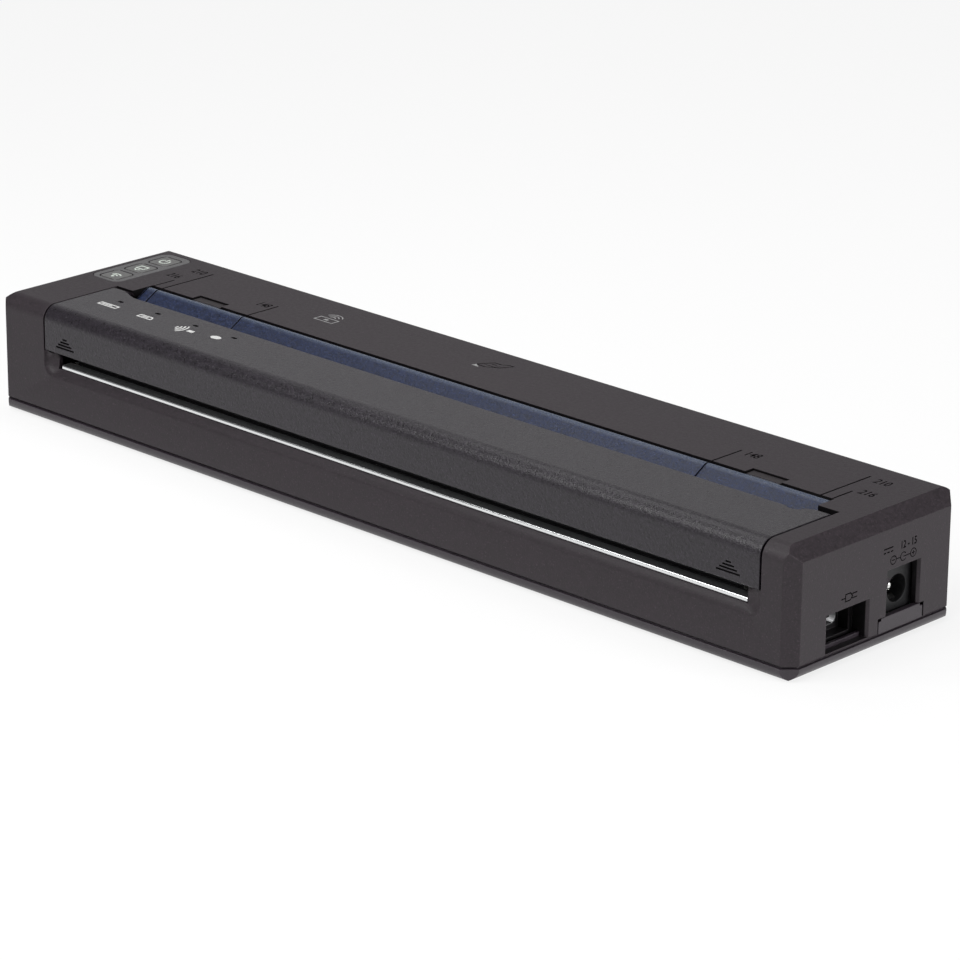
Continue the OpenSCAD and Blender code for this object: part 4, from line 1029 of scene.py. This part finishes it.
# ---- Stage ----
# A flat white floor with soft shadows under large diffused lights, as in a product photograph. It
# is painted on its upper side only, so that a view from below shows the underside through it.
floor_mesh = bmesh.new()
bmesh.ops.create_grid(floor_mesh, x_segments=1, y_segments=1, size=4.0)
floor = to_object(floor_mesh, "floor")
floor_material, tree, shader = new_material("pale floor")
tree.nodes.remove(shader)
ray = node(tree, "LightPath").outputs
seen = scaled(tree, ray["Is Camera Ray"], 0.8, ray["Is Glossy Ray"], True)
matt = node(tree, "BsdfDiffuse", Color=(0.88, 0.88, 0.88, 1))
glow = node(tree, "Emission", Color=(1, 1, 1, 1), Strength=1.0)


def blended(tree, share, one, two):
    """A mix of two shaders."""
    made = node(tree, "MixShader", Fac=share)
    plug(tree, made.inputs[1], one.outputs[0])
    plug(tree, made.inputs[2], two.outputs[0])
    return made


below = node(tree, "NewGeometry").outputs["Backfacing"]
paint = blended(tree, below, blended(tree, seen, matt, glow), node(tree, "BsdfTransparent"))
fill(tree, tree.nodes["Material Output"], Surface=paint.outputs[0])
floor.data.materials.append(floor_material)

world = bpy.data.worlds.new("studio")
bpy.context.scene.world = world
world.use_nodes = True
tree = world.node_tree
ray = node(tree, "LightPath").outputs
room_light = 0.16
fill(tree, tree.nodes["Background"], Color=(1, 1, 1, 1),
     Strength=scaled(tree, ray["Is Camera Ray"], 1 - room_light, room_light))


def soft_lamp(name, place, aim, size, power):
    """A diffused lamp, its size in metres and its power in watts."""
    lamp = bpy.data.lights.new(name, "AREA")
    lamp.shape = "RECTANGLE"
    lamp.size, lamp.size_y = size
    lamp.energy = power
    holder = placed(name, lamp)
    holder.location = place
    holder.rotation_mode = "QUATERNION"
    holder.rotation_quaternion = (Vector(aim) - Vector(place)).to_track_quat("-Z", "Y")


soft_lamp("key light", (0.10, -0.75, 0.85), (0, 0, 0), (0.8, 0.8), 8)
soft_lamp("top light", (-0.1, 0.15, 1.1), (0, 0, 0), (1.0, 0.6), 3)
soft_lamp("right light", (1.2, 0.3, 0.35), (0.05, 0, 0), (0.7, 0.5), 9.5)
soft_lamp("back light", (-0.66, 0.98, 0.42), (0, 0, 0.03), (1.6, 0.5), 1.6)
soft_lamp("left light", (-0.14, 0.0, 0.32), (0.10, 0, 0.03), (0.18, 0.14), 0.18)
soft_lamp("front light", (-0.12, -0.30, 0.26), (0.10, -0.02, 0.028), (0.16, 0.16), 0.5)

# ---- Camera ----
# A long lens at the front right, a little above the deck. It looks at the target from its distance,
# turned by the azimuth and the elevation, and is rolled slightly about its own line.
azimuth, elevation, roll = (math.radians(angle) for angle in (44.08, 19.639, 0.415))
target, distance = (0.01093, 0, 0.009131), 0.961455
lens = bpy.data.cameras.new("camera")
lens.sensor_width = 36
lens.lens = 157.07
camera = placed("camera", lens)
turn = Matrix.Rotation(azimuth, 4, "Z") @ Matrix.Rotation(math.pi / 2 - elevation, 4, "X")
camera.matrix_world = (Matrix.Translation(target) @ turn @ Matrix.Rotation(roll, 4, "Z")
                       @ Matrix.Translation((0, 0, distance)))
bpy.context.scene.camera = camera
bpy.context.scene.view_settings.view_transform = "Standard"
